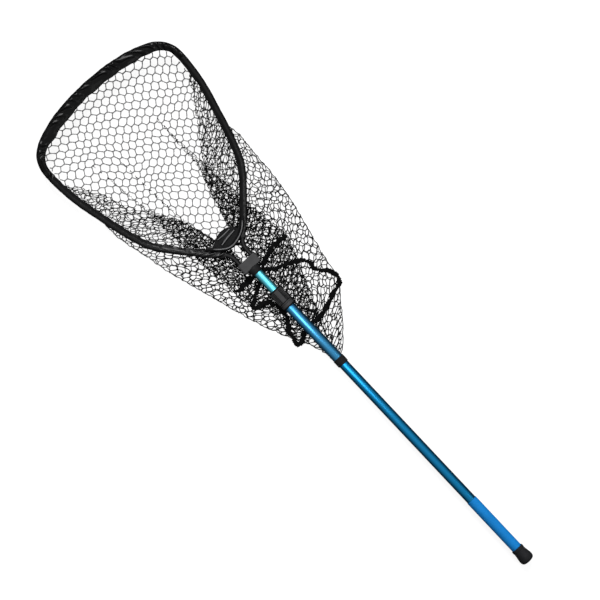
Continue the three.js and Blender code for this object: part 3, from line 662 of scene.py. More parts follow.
def anodised(name, dark, light, rough=(0.24, 0.33), coat=0.35):
    m = Mat(name, Metallic=1.0, Coat_Weight=coat, Coat_Roughness=0.28)
    v = m.where("Object", (6, 90, 90))
    streak = m.noise(v, 9.0, 4)
    fine = m.noise(m.where("Object", (30, 900, 900)), 6.0, 2)
    m.set("Base Color", m.ramp(streak, [(0.3, dark), (0.7, light)]))
    m.set("Roughness", m.span(fine, *rough))
    m.set("Normal", m.bump(fine, 0.06, 0.0002))
    return m.m


def moulded(name, dark, light, rough=(0.45, 0.6), grain=900.0, spec=0.35, bump=0.25):
    m = Mat(name, IOR_Level=spec)
    v = m.where("Object")
    cloud = m.noise(v, 60.0, 4)
    g = m.noise(v, grain, 3, 0.6)
    m.set("Base Color", m.ramp(cloud, [(0.3, dark), (0.72, light)]))
    m.set("Roughness", m.span(m.noise(v, 140.0, 4), *rough))
    m.set("Normal", m.bump(g, bump, 0.00025))
    return m.m


def sleeve_cloth(name, dark, light, rough, spec, coat, weave=0.25):
    m = Mat(name, IOR_Level=spec, Coat_Weight=coat, Coat_Roughness=0.32)
    uv = m.where("UV", (1, 1, 1))
    a = m.wave(uv, 70.0, 0.3, direction="X")
    b = m.wave(uv, 70.0, 0.3, direction="Y")
    w = m.math("MULTIPLY", a, b)
    cloud = m.noise(m.where("Object"), 55.0, 5)
    m.set("Base Color", m.ramp(cloud, [(0.3, dark), (0.7, light)]))
    m.set("Roughness", m.span(cloud, *rough))
    crease = m.noise(m.where("Object"), 150.0, 2)
    n1 = m.bump(crease, 0.05, 0.0007)
    m.set("Normal", m.bump(w, weave, 0.00012, n1))
    return m.m


def yarn(name, dark, light, plies=1.0, rough=(0.55, 0.75), spec=0.12):
    """Twisted thread: the twist runs along each strand's own length."""
    m = Mat(name, IOR_Level=spec)
    uv = m.where("UV", (1, plies, 1), (0, 0, 0))
    t = m.wave(uv, 6.0, 0.4, direction="DIAGONAL")
    cloud = m.noise(m.where("Object"), 90.0, 3)
    m.set("Base Color", m.ramp(cloud, [(0.3, dark), (0.7, light)]))
    m.set("Roughness", m.span(cloud, *rough))
    m.set("Normal", m.bump(t, 0.5, 0.00025))
    return m.m


def rubber(name, dark, light, spec=0.2):
    m = Mat(name, IOR_Level=spec)
    v = m.where("Object")
    m.set("Base Color", m.ramp(m.noise(v, 45.0, 5), [(0.32, dark), (0.7, light)]))
    m.set("Roughness", m.span(m.noise(v, 200.0, 4), 0.62, 0.82))
    m.set("Normal", m.bump(m.noise(v, 1500.0, 3), 0.3, 0.0002))
    return m.m


def steel(name):
    m = Mat(name, Metallic=1.0)
    v = m.where("Object")
    m.set("Base Color", m.ramp(m.noise(v, 300.0, 3), [(0.3, (0.32, 0.32, 0.33)), (0.7, (0.48, 0.48, 0.49))]))
    m.set("Roughness", m.span(m.noise(v, 800.0, 2), 0.3, 0.45))
    m.set("Normal", m.bump(m.noise(v, 2500.0, 2), 0.1, 0.0001))
    return m.m


M_TUBE = anodised("blue_anodised", (0.018, 0.245, 0.50), (0.026, 0.285, 0.56), (0.27, 0.35), 0.9)
# a darker copy of the same blue anodising, with little coat, for the rear tube: painted shade, the tube darker where
# less light reaches it
M_TUBE_REAR_PAINTED_SHADE = anodised("blue_anodised_rear_painted_shade", (0.006, 0.20, 0.44), (0.009, 0.235, 0.49), (0.27, 0.36), 0.12)
M_HOOP_TUBE = moulded("black_coated_tube", (0.0040, 0.0040, 0.0043), (0.0070, 0.0070, 0.0074), (0.30, 0.40), 1400.0, 0.13, 0.05)
M_SLEEVE_FAR = sleeve_cloth("rim_cloth_gloss", (0.0014, 0.0014, 0.0015), (0.0026, 0.0026, 0.0028), (0.20, 0.26), 0.125, 0.0, 0.03)
M_SLEEVE = sleeve_cloth("rim_cloth_satin", (0.0026, 0.0026, 0.0028), (0.0050, 0.0050, 0.0053), (0.24, 0.31), 0.20, 0.0, 0.08)
M_NET = yarn("net_yarn", (0.0030, 0.0030, 0.0031), (0.0060, 0.0060, 0.0062), spec=0.03)
M_NET_BACK = yarn("net_yarn_back", (0.022, 0.022, 0.0225), (0.038, 0.038, 0.0385), spec=0.03)
M_NET_MOUTH = yarn("net_yarn_mouth", (0.145, 0.145, 0.147), (0.19, 0.19, 0.192), spec=0.03)
M_CORD = yarn("seam_cord", (0.0022, 0.0022, 0.0023), (0.0050, 0.0050, 0.0052), 2.0, (0.7, 0.9), 0.015)
M_BLACK = moulded("black_moulding", (0.0032, 0.0032, 0.0035), (0.0058, 0.0058, 0.0062), (0.30, 0.40), 1100.0, 0.04, 0.05)
# a lighter grey for the throat's ribs and bead line: painted highlight, standing in for the gloss on the raised edges
# of the black moulding
M_RIB_PAINTED_HIGHLIGHT = moulded("rib_painted_highlight", (0.085, 0.085, 0.087), (0.12, 0.12, 0.122), (0.30, 0.42), 1100.0, 0.12, 0.1)
M_YOKE = moulded("yoke_moulding", (0.037, 0.037, 0.038), (0.046, 0.046, 0.047), (0.66, 0.8), 800.0, 0.06, 0.35)
M_LOCK = moulded("lock_moulding", (0.024, 0.024, 0.025), (0.033, 0.033, 0.034), (0.5, 0.62), 900.0, 0.10, 0.25)
M_COLLAR = moulded("collar_moulding", (0.0060, 0.0060, 0.0066), (0.0100, 0.0100, 0.0106), (0.4, 0.52), 900.0, 0.08, 0.2)
M_NATURAL = moulded("natural_acetal", (0.42, 0.41, 0.38), (0.50, 0.49, 0.46), (0.4, 0.5), 700.0, 0.5, 0.1)
M_CAP = rubber("cap_rubber", (0.0045, 0.0048, 0.0062), (0.0075, 0.0078, 0.0095))
M_FOAM = rubber("float_foam", (0.02, 0.02, 0.02), (0.035, 0.035, 0.035))
M_STEEL = steel("screw_steel")


def grip_material():
    m = Mat("grip_blue", IOR_Level=0.04)
    v = m.where("Object")
    m.set("Base Color", m.ramp(m.noise(v, 50.0, 4), [(0.3, (0.0070, 0.150, 0.425)), (0.7, (0.0092, 0.172, 0.480))]))
    m.set("Roughness", m.span(m.noise(v, 260.0, 3), 0.45, 0.6))
    m.set("Normal", m.bump(m.noise(v, 1300.0, 3), 0.25, 0.0002))
    return m.m


# a lighter copy of the blue anodising for the front tube: painted highlight, standing in for the broad reflection of
# the light above it
M_TUBE_FRONT_PAINTED_HIGHLIGHT = anodised("blue_anodised_front", (0.085, 0.56, 0.70), (0.11, 0.63, 0.78), (0.32, 0.40), 1.0)
M_GRIP = grip_material()


# ---------------------------------------------------------------- the net
ROWS = np.arange(-40, 42)
u0, v0, ed0, kd0 = lattice(ROWS, jitter=0.45, seed=5)


def main_slack(a, b):
    return 0.3 + 0.9 * smoothstep(np.maximum(b - EDGE[1](a), EDGE[-1](a) - b), 0, 20)


P_all, K_all, L_all, U_all, F_all = run_edges(u0, v0, ed0, kd0, fold_bag, 71, main_slack)
# nothing of the bag reaches past its tail, which lies under the handle
inside = P_all[:, :, 0].max(1) < 111
P_all, K_all, L_all, U_all, F_all = P_all[inside], K_all[inside], L_all[inside], U_all[inside], F_all[inside]
mid = P_all[:, 3]


def strip_mapper(lo, hi, turns, z0, z1, seed, amount):
    """A long pleat that lies between two lines: cloth folded to and fro, turns times."""
    lo_, hi_ = catmull(lo, 6), catmull(hi, 6)
    o1, o2 = np.argsort(lo_[:, 0]), np.argsort(hi_[:, 0])
    xa, xb = max(lo_[:, 0].min(), hi_[:, 0].min()), min(lo_[:, 0].max(), hi_[:, 0].max())
    w1, w2, w3, w4 = Waves(seed, 40), Waves(seed + 1, 40), Waves(seed + 2, 18), Waves(seed + 3, 18)

    def mapper(u, v):
        x = u + amount * (2.4 * w1(u, v) + 1.5 * w3(u, v))
        t = v + amount * (2.4 * w2(u, v) + 1.5 * w4(u, v))
        yl = np.interp(x, lo_[o1, 0], lo_[o1, 1])
        yh = np.interp(x, hi_[o2, 0], hi_[o2, 1])
        w = np.maximum(np.abs(yh - yl), 0.01)
        ok = (x > xa) & (x < xb) & (t > 0) & (t < turns * w)
        q = np.clip(t / w, 0, turns - 1e-6)
        leaf = np.floor(q)
        f = q - leaf
        f = np.where(leaf % 2 == 0, f, 1 - f)
        y = yl + f * (yh - yl)
        z = z0 + (z1 - z0) * (q / turns) + 0.8 * w1(x * 1.3, y * 1.3) + 0.5 * w3(x, y)
        z = np.maximum(z, 1.2) * z_cap(x, y)
        return x, y, np.maximum(z, 1.0), np.full(np.shape(u), 3), ok, yl > 0

    return mapper


pleats = []
for key, turns, za, zb, sd, am in (("up", 4, 3.0, 7.8, 201, 0.8), ("down", 4, 3.0, 7.8, 301, 0.8), ("thin", 2, 1.8, 3.6, 401, 0.25)):
    lo, hi = PLEATS[key]
    up_, vp_, ep_, kp_ = lattice(np.arange(0, 36), jitter=0.8, seed=sd, fan=False)
    pleats.append(run_edges(up_, vp_, ep_, kp_, strip_mapper(lo, hi, turns, za, zb, sd, am), sd + 7, lambda a, b: np.full(len(a), 1.0)))

NETS = {
    "net_back_mouth": (L_all == 0) & (mid[:, 0] < -262),
    "net_back_tail": (L_all == 0) & (mid[:, 0] >= -262),
    "net_front_upper": (L_all == 1) & (mid[:, 1] > 0),
    "net_front_lower": (L_all == 1) & (mid[:, 1] <= 0),
    "net_wall_upper": (L_all == 2) & (mid[:, 1] > 0),
    "net_wall_lower": (L_all == 2) & (mid[:, 1] <= 0),
}
nets, seed = [], 900
for name, sel in NETS.items():
    seed += 1
    gauge = {"net_back_mouth": (1.09, 1.31), "net_back_tail": (0.93, 1.2), "net_wall_upper": (0.76, 1.02), "net_wall_lower": (0.64, 0.86), "net_front_lower": (1.05, 1.54)}
    nets.append(net_piece(name, P_all[sel], K_all[sel], M_NET_MOUTH if name == "net_back_mouth" else M_NET_BACK if "back" in name else M_NET, seed, *gauge.get(name, (0.95, 1.38)), F_all[sel]))
for name, (P, K, _, _, F) in zip(("net_pleat_upper", "net_pleat_lower", "net_pleat_thin"), pleats):
    seed += 1
    thin_thick = (0.6, 0.8) if "thin" in name else (0.80, 1.08)
    nets.append(net_piece(name, P, K, M_NET, seed, *thin_thick, F))


def fold_strands(name, runs, seed, radius=0.85):
    """The strands that lie along a folded edge of the bag."""
    w1, w2 = Waves(seed, 26), Waves(seed + 1, 12)
    out = []
    for k, (pts, z) in enumerate(runs):
        line, q = respace(catmull(pts, 12), count=400)
        line = line.copy()
        line[:, 1] += 0.7 * w1(q, 0 * q + 40 * k) + 0.4 * w2(q, 0 * q + 40 * k)
        line[:, 2] = z(line[:, 0], line[:, 1]) if callable(z) else z
        line[:, 2] += 0.3 * w2(q, 0 * q + 40 * k + 20)
        out.append(line)
    P = np.stack(out)
    g = np.random.default_rng(seed)
    rad = radius * (1 + 0.25 * np.abs(np.sin(np.arange(P.shape[1]) * 0.19))) * np.ones((len(P), 1))
    o = strands(name, plan_to_world(P), rad * MM, sides=8, oval=0.2, twist=900.0, phase=g.uniform(0, 6.28, len(P)))
    return finish_piece(o, "head", M_NET)


edge_z = lambda x, y: np.maximum(3.2 * z_cap(x, y), 1.2)
nets.append(fold_strands("net_fold_edges", [([(x, y - 0.8) for x, y in TAIL_UP], edge_z), ([(x, y + 0.8) for x, y in TAIL_DOWN], edge_z)], 960))
for o in nets:
    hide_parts("net_bag")


# ---------------------------------------------------------------- the rim's sleeves
def drop_section(r, q, d, m=64):
    t = np.arccos(np.minimum(1, (r - q) / d))
    k = int(m * 0.72)
    a = np.linspace(t, 2 * math.pi - t, k)
    big = np.stack([r * np.cos(a), r * np.sin(a)], 1)
    b = np.linspace(-t, t, m - k)
    small = np.stack([d + q * np.cos(b), q * np.sin(b)], 1)
    loop = np.r_[big, small]
    loop, _ = respace(np.r_[loop, loop[:1]], count=m + 1)
    return loop[:m]


def sleeve(name, i0, i1, far, mat, replaces, seed):
    line = HOOP[i0:i1 + 1]
    s = HOOP_S[i0:i1 + 1]
    n, m = len(line), 72
    L = s[-1] - s[0]
    rel = s - s[0]
    ends = np.minimum(rel, L - rel)
    width = np.full(n, 7.9)
    if far:
        width = 7.9 + (11.8 + 0.7 * Waves(seed + 7, 90)(s, 0 * s)) * smoothstep(ends, 15, 150)
    sec = np.stack([drop_section(7.3, 2.6 + 0.2 * (w > 9), w, m) for w in width])
    # outward normal of each section
    nx = np.roll(sec, -1, 1) - np.roll(sec, 1, 1)
    nrm = np.stack([nx[..., 1], -nx[..., 0]], -1)
    nrm /= np.maximum(np.linalg.norm(nrm, axis=-1, keepdims=True), 1e-9)
    if ((nrm * (sec - np.array([3.0, 0]))).sum(-1)).mean() < 0:
        nrm = -nrm
    S2 = np.repeat(s[:, None], m, 1)
    ang = np.arctan2(sec[..., 1], sec[..., 0])
    arc = ang * 8.0
    w_a, w_b, w_c = Waves(seed, 26, 12, 0.3), Waves(seed + 1, 60), Waves(seed + 2, 11, 12, 0.3)
    outer = smoothstep(-sec[..., 0], -15, -6) * (1 - 0.85 * smoothstep(-sec[..., 0], 5.3, 7.3)) * smoothstep(sec[..., 1], -2, 0.5)
    if far:
        slant = S2 + arc * 1.5 + 7.0 * w_b(S2, arc)
        ridge = 0.5 + 0.5 * np.cos(2 * math.pi * (slant / 27.0 + 0.25 * w_b(S2 * 0.6, arc)))
        cross = 0.5 + 0.5 * np.cos(2 * math.pi * (S2 - arc * 1.1 + 9 * w_a(S2 * 0.7, arc)) / 17.0)
        amp = 0.6 + 0.4 * smoothstep(w_b(S2 * 0.8 + 50, 0 * arc), -1.1, 0.3)
        h = outer * (3.0 * amp * (ridge**2.0 - 0.35) + 0.9 * (1 - amp) * (cross**2 - 0.35)) - 0.35 * outer
        h += (1 - outer) * 0.22 * w_b(S2 * 1.5, sec[..., 0] * 0.8)
        edge = smoothstep(sec[..., 0], 12, 20)
        shift = edge * (0.8 * w_a(S2 * 0.6, 0 * S2))
        lift = edge * (0.7 * w_a(S2 * 0.7 + 33, 0 * S2))
    else:
        # slack and twisted near the throat, smooth along the sides
        slack = 1 - smoothstep(rel if seed % 2 == 0 else L - rel, 10, 120)
        near_far = 1 - smoothstep(L - rel if seed % 2 == 0 else rel, 0, 60)
        tw = S2 - arc * 2.2 + 4.0 * w_b(S2, arc)
        ridge = 0.5 + 0.5 * np.cos(2 * math.pi * tw / 21.0)
        gain = (2.1 if seed % 2 == 0 else 0.4) * slack[:, None] + 0.35 * near_far[:, None]
        h = gain * (ridge**1.4 - 0.28) + 0.12 * w_a(S2, arc) + 0.06 * w_c(S2, arc)
        shift = 0.35 * w_a(S2, 0 * S2) * smoothstep(sec[..., 0], 7, 10)
        lift = 0 * S2
    sec2 = sec + nrm * h[..., None]
    sec2[..., 0] += shift
    sec2[..., 1] += lift
    inner = sec2 - nrm * 0.55
    both = np.concatenate([sec2, inner[:, ::-1]], 1)
    V, _, _ = sweep(name, line, both)
    m2 = 2 * m
    i = np.arange(n - 1)[:, None] * m2
    quads, uvs = [], []
    per = np.r_[0, np.cumsum(np.linalg.norm(np.diff(np.r_[sec[n // 2], sec[n // 2][:1]], axis=0), axis=1))]
    for base in (0, m):
        j = np.arange(m)[None]
        j2 = (j + 1) % m
        quads.append(np.stack([i + base + j, i + m2 + base + j, i + m2 + base + j2, i + base + j2], -1).reshape(-1, 4))
        uv = np.zeros((n - 1, m, 4, 2))
        for c, (di, dj) in enumerate([(0, 0), (1, 0), (1, 1), (0, 1)]):
            uv[:, :, c, 0] = rel[di:n - 1 + di, None] * 0.1
            uv[:, :, c, 1] = per[dj:m + dj][None] * 0.1
        uvs.append(uv.reshape(-1, 2))
    for k, row in ((0, 0), (1, n - 1)):           # the rings that close the cloth's two ends
        j = np.arange(m)
        j2 = (j + 1) % m
        o1 = row * m2 + j
        o2 = row * m2 + j2
        i1_ = row * m2 + m + (m - 1 - j)
        i2_ = row * m2 + m + (m - 1 - j2)
        quads.append(np.stack([o1, o2, i2_, i1_] if k == 0 else [o2, o1, i1_, i2_], -1))
        uvs.append(np.zeros((m * 4, 2)))
    o = make_mesh(name, axis_to_world(V), np.concatenate(quads), None, np.concatenate(uvs))
    fix_normals(o)
    finish_piece(o, "head", mat, replaces)
    return o


GAPS = 0
sleeve_l = sleeve("sleeve_left_cloth", LEG_A - 34, FAR_A - GAPS, False, M_SLEEVE, ["sleeve_left"], 50)
sleeve_f = sleeve("sleeve_far_cloth", FAR_A + GAPS, FAR_B - GAPS, True, M_SLEEVE_FAR, ["sleeve_far"], 60)
sleeve_r = sleeve("sleeve_right_cloth", FAR_B + GAPS, LEG_B + 32, False, M_SLEEVE, ["sleeve_right"], 71)


# ---------------------------------------------------------------- the handle
def ring_profile(x0, x1, ro, ri, bevel=0.25):
    b = bevel
    return [(x0, ri + b), (x0 + b * 0.3, ri + b * 0.3), (x0 + b, ri), (x1 - b, ri), (x1 - b * 0.3, ri + b * 0.3), (x1, ri + b),
            (x1, ro - b), (x1 - b * 0.3, ro - b * 0.3), (x1 - b, ro), (x0 + b, ro), (x0 + b * 0.3, ro - b * 0.3), (x0, ro - b)]


FRONT = (-186.5, 330.0, 10.95, 10.1)
MID = (-88.0, 122.0, 13.0, 12.2)
REAR = (55.0, 733.0, 11.95, 11.2)
o = lathe("front_tube_skin", ring_profile(*FRONT), 160)
finish_piece(o, "head", M_TUBE_FRONT_PAINTED_HIGHLIGHT, ["front_tube"])
o = lathe("mid_tube_skin", ring_profile(*MID), 160)
finish_piece(o, "mid", M_TUBE, ["mid_tube"])
o = lathe("rear_tube_skin", ring_profile(*REAR), 160)
finish_piece(o, "rear", M_TUBE_REAR_PAINTED_SHADE, ["rear_tube"])


def rounded(profile, radius=0.5, steps=3):
    """The same closed profile with its corners rounded."""
    P = [np.array(p, float) for p in profile]
    out, n = [], len(P)
    for i in range(n):
        p, a, b = P[i], P[i - 1], P[(i + 1) % n]
        if p[1] < 1e-9:
            out.append(tuple(p))
            continue
        la, lb = np.linalg.norm(a - p), np.linalg.norm(b - p)
        r = min(radius, la * 0.45, lb * 0.45)
        p0, p1 = p + (a - p) / la * r, p + (b - p) / lb * r
        for k in range(steps + 1):
            t = k / steps
            out.append(tuple((1 - t)**2 * p0 + 2 * t * (1 - t) * p + t**2 * p1))
    return out


def split_long(profile, step=4.0):
    out, n = [], len(profile)
    for i in range(n):
        a, b = np.array(profile[i]), np.array(profile[(i + 1) % n])
        out.append(tuple(a))
        if i == n - 1 and a[1] < 1e-9 and b[1] < 1e-9:
            break
        k = int(np.linalg.norm(b - a) / step)
        for q in range(1, k + 1):
            out.append(tuple(a + (b - a) * q / (k + 1)))
    return out


# collar ring: a plain black ring with fine ribs for the fingers
def collar_wave(x, a, r):
    rib = np.maximum(0, np.cos(a * 36)) ** 2
    on = smoothstep(x, 111.2, 112.4) * (1 - smoothstep(x, 123.4, 124.6)) * (r > 13.85)
    return -0.35 * on * rib


o = lathe("collar_ring_body", split_long(rounded([(108.8, 13.3), (108.8, 13.7), (109.6, 14.0), (126.4, 14.0), (127.2, 13.5), (127.2, 12.3), (124.8, 12.3), (124.8, 13.3)], 0.3), 1.0), 216, wave=collar_wave)
finish_piece(o, "collar", M_COLLAR, ["collar_ring"])

# grip: a thin blue sleeve with a soft turned edge
def grip_wave(x, a, r):
    return np.where(r > 12.6, 0.05 * np.sin(x * 0.9) * np.sin(a * 3 + x * 0.05), 0)


o = lathe("grip_skin", split_long(rounded([(557.3, 12.25), (557.3, 12.75), (558.2, 12.95), (708.4, 12.95), (709.1, 12.75), (709.1, 12.25)], 0.3), 1.5), 128, wave=grip_wave)
finish_piece(o, "rear", M_GRIP, ["grip_sleeve"])

cap = [(709.4, 12.25), (709.4, 14.3), (710.4, 15.0), (713, 15.15), (715.5, 15.1), (717.5, 14.5), (720, 14.7), (727, 15.6), (733.5, 16.7), (738.5, 17.25),
       (743, 17.0), (746.8, 15.4), (749.3, 12.6), (750.5, 8.5), (750.5, 0), (735, 0), (735, 12.25)]
capc = catmull(cap[1:14], 6)[:, :2]
o = lathe("end_cap_rubber", [(735, 0), (735, 12.25), (709.4, 12.25)] + [tuple(p) for p in capc] + [(750.5, 0)], 144, sharp=40)
finish_piece(o, "rear", M_CAP, ["end_cap"])


# ---------------------------------------------------------------- moulded pieces: the CAD shape, with its edges and surface finished
def moulded_from(node, name, voxel, smooth, body, mat):
    src = bpy.data.objects[node]
    me = src.data.copy()
    o = bpy.data.objects.new(name, me)
    bpy.context.scene.collection.objects.link(o)
    for k in list(o.keys()):
        del o[k]
    m = o.modifiers.new("r", "REMESH")
    m.mode, m.voxel_size, m.use_smooth_shade = "VOXEL", voxel * MM, True
    m2 = o.modifiers.new("s", "CORRECTIVE_SMOOTH" if False else "SMOOTH")
    m2.factor, m2.iterations = 0.5, smooth
    dg = bpy.context.evaluated_depsgraph_get()
    done = bpy.data.meshes.new_from_object(o.evaluated_get(dg))
    o.modifiers.clear()
    o.data = done
    done.name = name
    done.polygons.foreach_set("use_smooth", np.ones(len(done.polygons), bool))
    bpy.data.meshes.remove(me)
    finish_piece(o, body, mat, [node])
    return o


moulded_from("throat_cover", "throat_cover_moulding", 0.55, 5, "head", M_BLACK)
moulded_from("throat_base", "throat_base_moulding", 0.7, 3, "head", M_BLACK)
moulded_from("yoke_body", "yoke_moulding", 0.36, 2, "head", M_YOKE)
def capsule(name, a, b, half, z0, z1, body, mat, bend=0.0, n=40, m=24):
    """A long rounded rib with a domed top."""
    a, b = np.array(a, float), np.array(b, float)
    d = (b - a) / np.linalg.norm(b - a)
    L = np.linalg.norm(b - a)
    side = np.array([-d[1], d[0]])
    t = -half + (L + 2 * half) * (1 - np.cos(np.arange(n + 1) / n * math.pi)) / 2
    w = half * np.sqrt(np.clip(1 - (np.clip(-t, 0, half) / half) ** 2 - (np.clip(t - L, 0, half) / half) ** 2, 0.004, 1))
    ang = np.arange(m) / m * 2 * math.pi
    C = a + t[:, None] * d + (bend * np.sin(np.clip(t / L, 0, 1) * math.pi))[:, None] * side
    X = C[:, None, :] + (w[:, None] * np.cos(ang))[..., None] * side
    k = w / half
    Z = z0 + (z1 - z0) * np.where(np.sin(ang) > 0, np.sin(ang) * k[:, None], 0.15 * np.sin(ang))
    V = np.concatenate([X, Z[..., None]], -1).reshape(-1, 3)
    i = np.arange(n)[:, None] * m
    j = np.arange(m)[None]
    q = np.stack([i + j, i + (j + 1) % m, i + m + (j + 1) % m, i + m + j], -1).reshape(-1, 4)
    caps = []
    for kk in range(m // 2 - 1):
        c = [kk, kk + 1, m - 2 - kk, m - 1 - kk]
        caps.append(c[::-1])
        caps.append([n * m + v for v in c])
    o = make_mesh(name, axis_to_world(V), np.r_[q, np.array(caps)])
    fix_normals(o)
    return finish_piece(o, body, mat)


BEAD = [(-273, 57), (-264, 48.5), (-256.5, 38.5), (-250.6, 26.5), (-246.7, 13), (-245.3, 0), (-248.3, -12), (-252.8, -19.5), (-258.6, -27), (-269, -38.5)]
line, q = respace(catmull([(x, y, 10.9) for x, y in BEAD], 12), step=1.0)
taper = np.sqrt(np.clip(np.minimum(q, q[-1] - q) / 8, 0.03, 1))
# the bead's top line and the two ribs take the lighter grey: painted highlight along their raised edges
o = strands("throat_bead_edge", axis_to_world(line)[None], 1.35 * MM * taper[None], sides=12, oval=0.0)
finish_piece(o, "head", M_RIB_PAINTED_HIGHLIGHT)
capsule("throat_rib_1", (-277.8, -15), (-277.8, 20), 2.5, 6.6, 10.1, "head", M_RIB_PAINTED_HIGHLIGHT, bend=-0.4)
capsule("throat_rib_2", (-262.8, -16), (-268.6, 27), 2.5, 6.6, 10.1, "head", M_RIB_PAINTED_HIGHLIGHT, bend=0.6)
o = lathe("yoke_ferrule_moulding", split_long(rounded([(-178.9, 11.3), (-178.9, 12.4), (-176.3, 12.4), (-176.3, 15.5), (-172.0, 15.2), (-161.3, 12.6), (-160.3, 12.1), (-160.3, 11.3)], 0.4), 1.5), 144)
finish_piece(o, "head", M_COLLAR, ["yoke_ferrule"])


def lock_wave(x, a, r):
    """Long finger grooves round the nut, with a plain field on top of each third."""
    deg = np.degrees(a)
    turn = (deg - 90 + 60) % 120 - 60                     # measured from the middle of each plain field
    g = np.zeros(np.shape(a))
    for c in (25.0, 34.0, 43.0, 52.0, 60.0):
        d = np.minimum(np.abs(turn - c), np.abs(turn + c))
        g = np.maximum(g, np.exp(-(d / 2.7) ** 2))
    bow = 1.2 * np.sin((x + 101) / 34 * math.pi)
    on = smoothstep(x, -101.5, -99.5) * (1 - smoothstep(x, -70.5 + bow, -68.5 + bow)) * (r > 15)
    return -1.7 * on * g


o = lathe("lock_nut_moulding", split_long(rounded([(-105.1, 11.6), (-105.1, 14.6), (-104.1, 15.6), (-102.2, 15.9), (-101.6, 15.1), (-101.0, 16.5), (-69.4, 16.5), (-68.6, 15.3), (-67.6, 15.3), (-67.2, 16.3),
          (-65.0, 16.3), (-64.5, 15.9), (-64.5, 14.6), (-92.4, 14.6), (-101.3, 12.9), (-101.3, 11.6)], 0.35), 1.0), 360, wave=lock_wave)
finish_piece(o, "lock", M_LOCK, ["lock_nut"])


def painted_shade_faces(o, mat, test):
    """Put a second material on the faces whose middle passes the test, in the handle's own axes; used for painted shade
    in grooves and gaps.
    """
    me = o.data
    c = np.empty(len(me.polygons) * 3)
    me.polygons.foreach_get("center", c)
    c = c.reshape(-1, 3)
    o_, e = axis_to_world(np.array([[0.0, 0, 0]]))[0], [axis_to_world(np.eye(3)[k:k + 1])[0] for k in range(3)]
    ax = np.stack([((c - o_) @ (v - o_)) / ((v - o_) @ (v - o_)) for v in e], 1)
    hit = test(ax[:, 0], np.arctan2(ax[:, 2], ax[:, 1]), np.hypot(ax[:, 1], ax[:, 2]))
    me.materials.append(mat)
    me.polygons.foreach_set("material_index", hit.astype(np.int32))


# painted shade: the bottoms of the nut's grooves and the rings at its two ends take the black moulding, for the shade
# in the grooves and in the gaps at either end
painted_shade_faces(o, M_BLACK, lambda x, a, r: ((lock_wave(x, a, np.full(len(x), 16.0)) < -0.55) & (r > 14)) | ((x < -101.9) & (r > 12)) | ((x > -69.2) & (x < -67.3) & (r > 14.8)))
o = lathe("lock_body_moulding", split_long(rounded([(-92.0, 11.5), (-92.0, 14.2), (-64.2, 14.2), (-64.2, 14.9), (-63.0, 16.2), (-54.3, 16.2), (-53.1, 15.2),
          (-53.1, 13.3), (-88.3, 13.3), (-88.3, 11.5)], 0.5), 2.0), 144)
finish_piece(o, "mid", M_LOCK, ["lock_body"])
# painted shade: the lock body's last few millimetres are black, for the shade in the gap at its end
painted_shade_faces(o, M_BLACK, lambda x, a, r: x > -57.5)

for node, mat in (("hoop_tube", M_HOOP_TUBE), ("head_rope", M_CORD), ("throat_screw_1", M_STEEL), ("throat_screw_2", M_STEEL), ("yoke_screw_1", M_STEEL),
                  ("yoke_screw_2", M_STEEL), ("front_tube_rivet", M_STEEL), ("front_tube_plug", M_BLACK), ("lock_collet", M_NATURAL),
                  ("collar_collet", M_NATURAL), ("rear_guide_ring", M_NATURAL), ("float_plug", M_FOAM)):
    ob = bpy.data.objects[node]
    ob.data.materials.clear()
    ob.data.materials.append(mat)

# the hoop's bare legs, smooth
i_leg = [(0, LEG_A + 25), (LEG_B - 25, len(HOOP) - 1)]
ring_a = np.arange(36) / 36 * 2 * math.pi
circ = np.stack([5.75 * np.cos(ring_a), 5.75 * np.sin(ring_a)], 1)
hollow = circ * (4.75 / 5.75)
V, Q, UV = sweep("hoop_tube_skin", HOOP, np.repeat(circ[None], len(HOOP), 0))
n, m = len(HOOP), 36
Vi, Qi, UVi = sweep("hoop_tube_in", HOOP, np.repeat(hollow[None], len(HOOP), 0))
Qi = Qi[:, ::-1] + len(V)
j = np.arange(m)
j2 = (j + 1) % m
cap0 = np.stack([j, j2, len(V) + j2, len(V) + j], -1)
r1 = (n - 1) * m
cap1 = np.stack([r1 + j2, r1 + j, len(V) + r1 + j, len(V) + r1 + j2], -1)
o = make_mesh("hoop_tube_skin", axis_to_world(np.r_[V, Vi]), np.r_[Q, Qi, cap0, cap1], None, np.r_[UV, UVi, np.zeros((8 * m, 2))], sharp=40)
fix_normals(o)
finish_piece(o, "head", M_HOOP_TUBE, ["hoop_tube"])


# ---------------------------------------------------------------- the bag's gathered seam: a whipped, bumpy cord
SEAM_END = [(-178.7, 108.1), (-181.0, 69.0), (-168.4, 25.3), (-163.8, 0.0), (-161.7, -25.3), (-160.3, -43.7), (-159.6, -64.4)]
SEAM_MAIN = [
    (-154.8, 6.9), (-152.7, 18.4), (-141.0, 34.5), (-129.3, 62.1), (-113.6, 89.7), (-98.2, 103.5), (-77.5, 101.2), (-59.1, 116.1), (-43.0, 126.5),
    (-26.9, 127.4), (-15.4, 121.9), (-9.0, 101.2), (-1.6, 80.5), (4.1, 62.1), (11.5, 37.9), (10.8, 13.8), (12.6, -4.6), (15.4, -18.4), (23.7, -33.3),
    (24.8, -43.7), (14.5, -47.1), (3.0, -42.8), (-10.8, -43.2), (-23.7, -32.2), (-39.3, -21.8), (-56.8, -18.9), (-75.2, -20.2), (-90.2, -25.3),
    (-99.1, -37.9), (-103.3, -57.5), (-108.8, -62.1), (-120.1, -48.3), (-132.7, -27.6), (-141.9, -11.5), (-147.7, -2.3),
]
SEAM_THIN = [(-132, 17.5), (-107, 16.4), (-78, 16.8), (-56, 16.6), (-36.1, 18.4), (-22.3, 25.3), (-3.9, 31.0), (14.5, 29.4), (35.2, 22.5), (58.2, 14.9)]


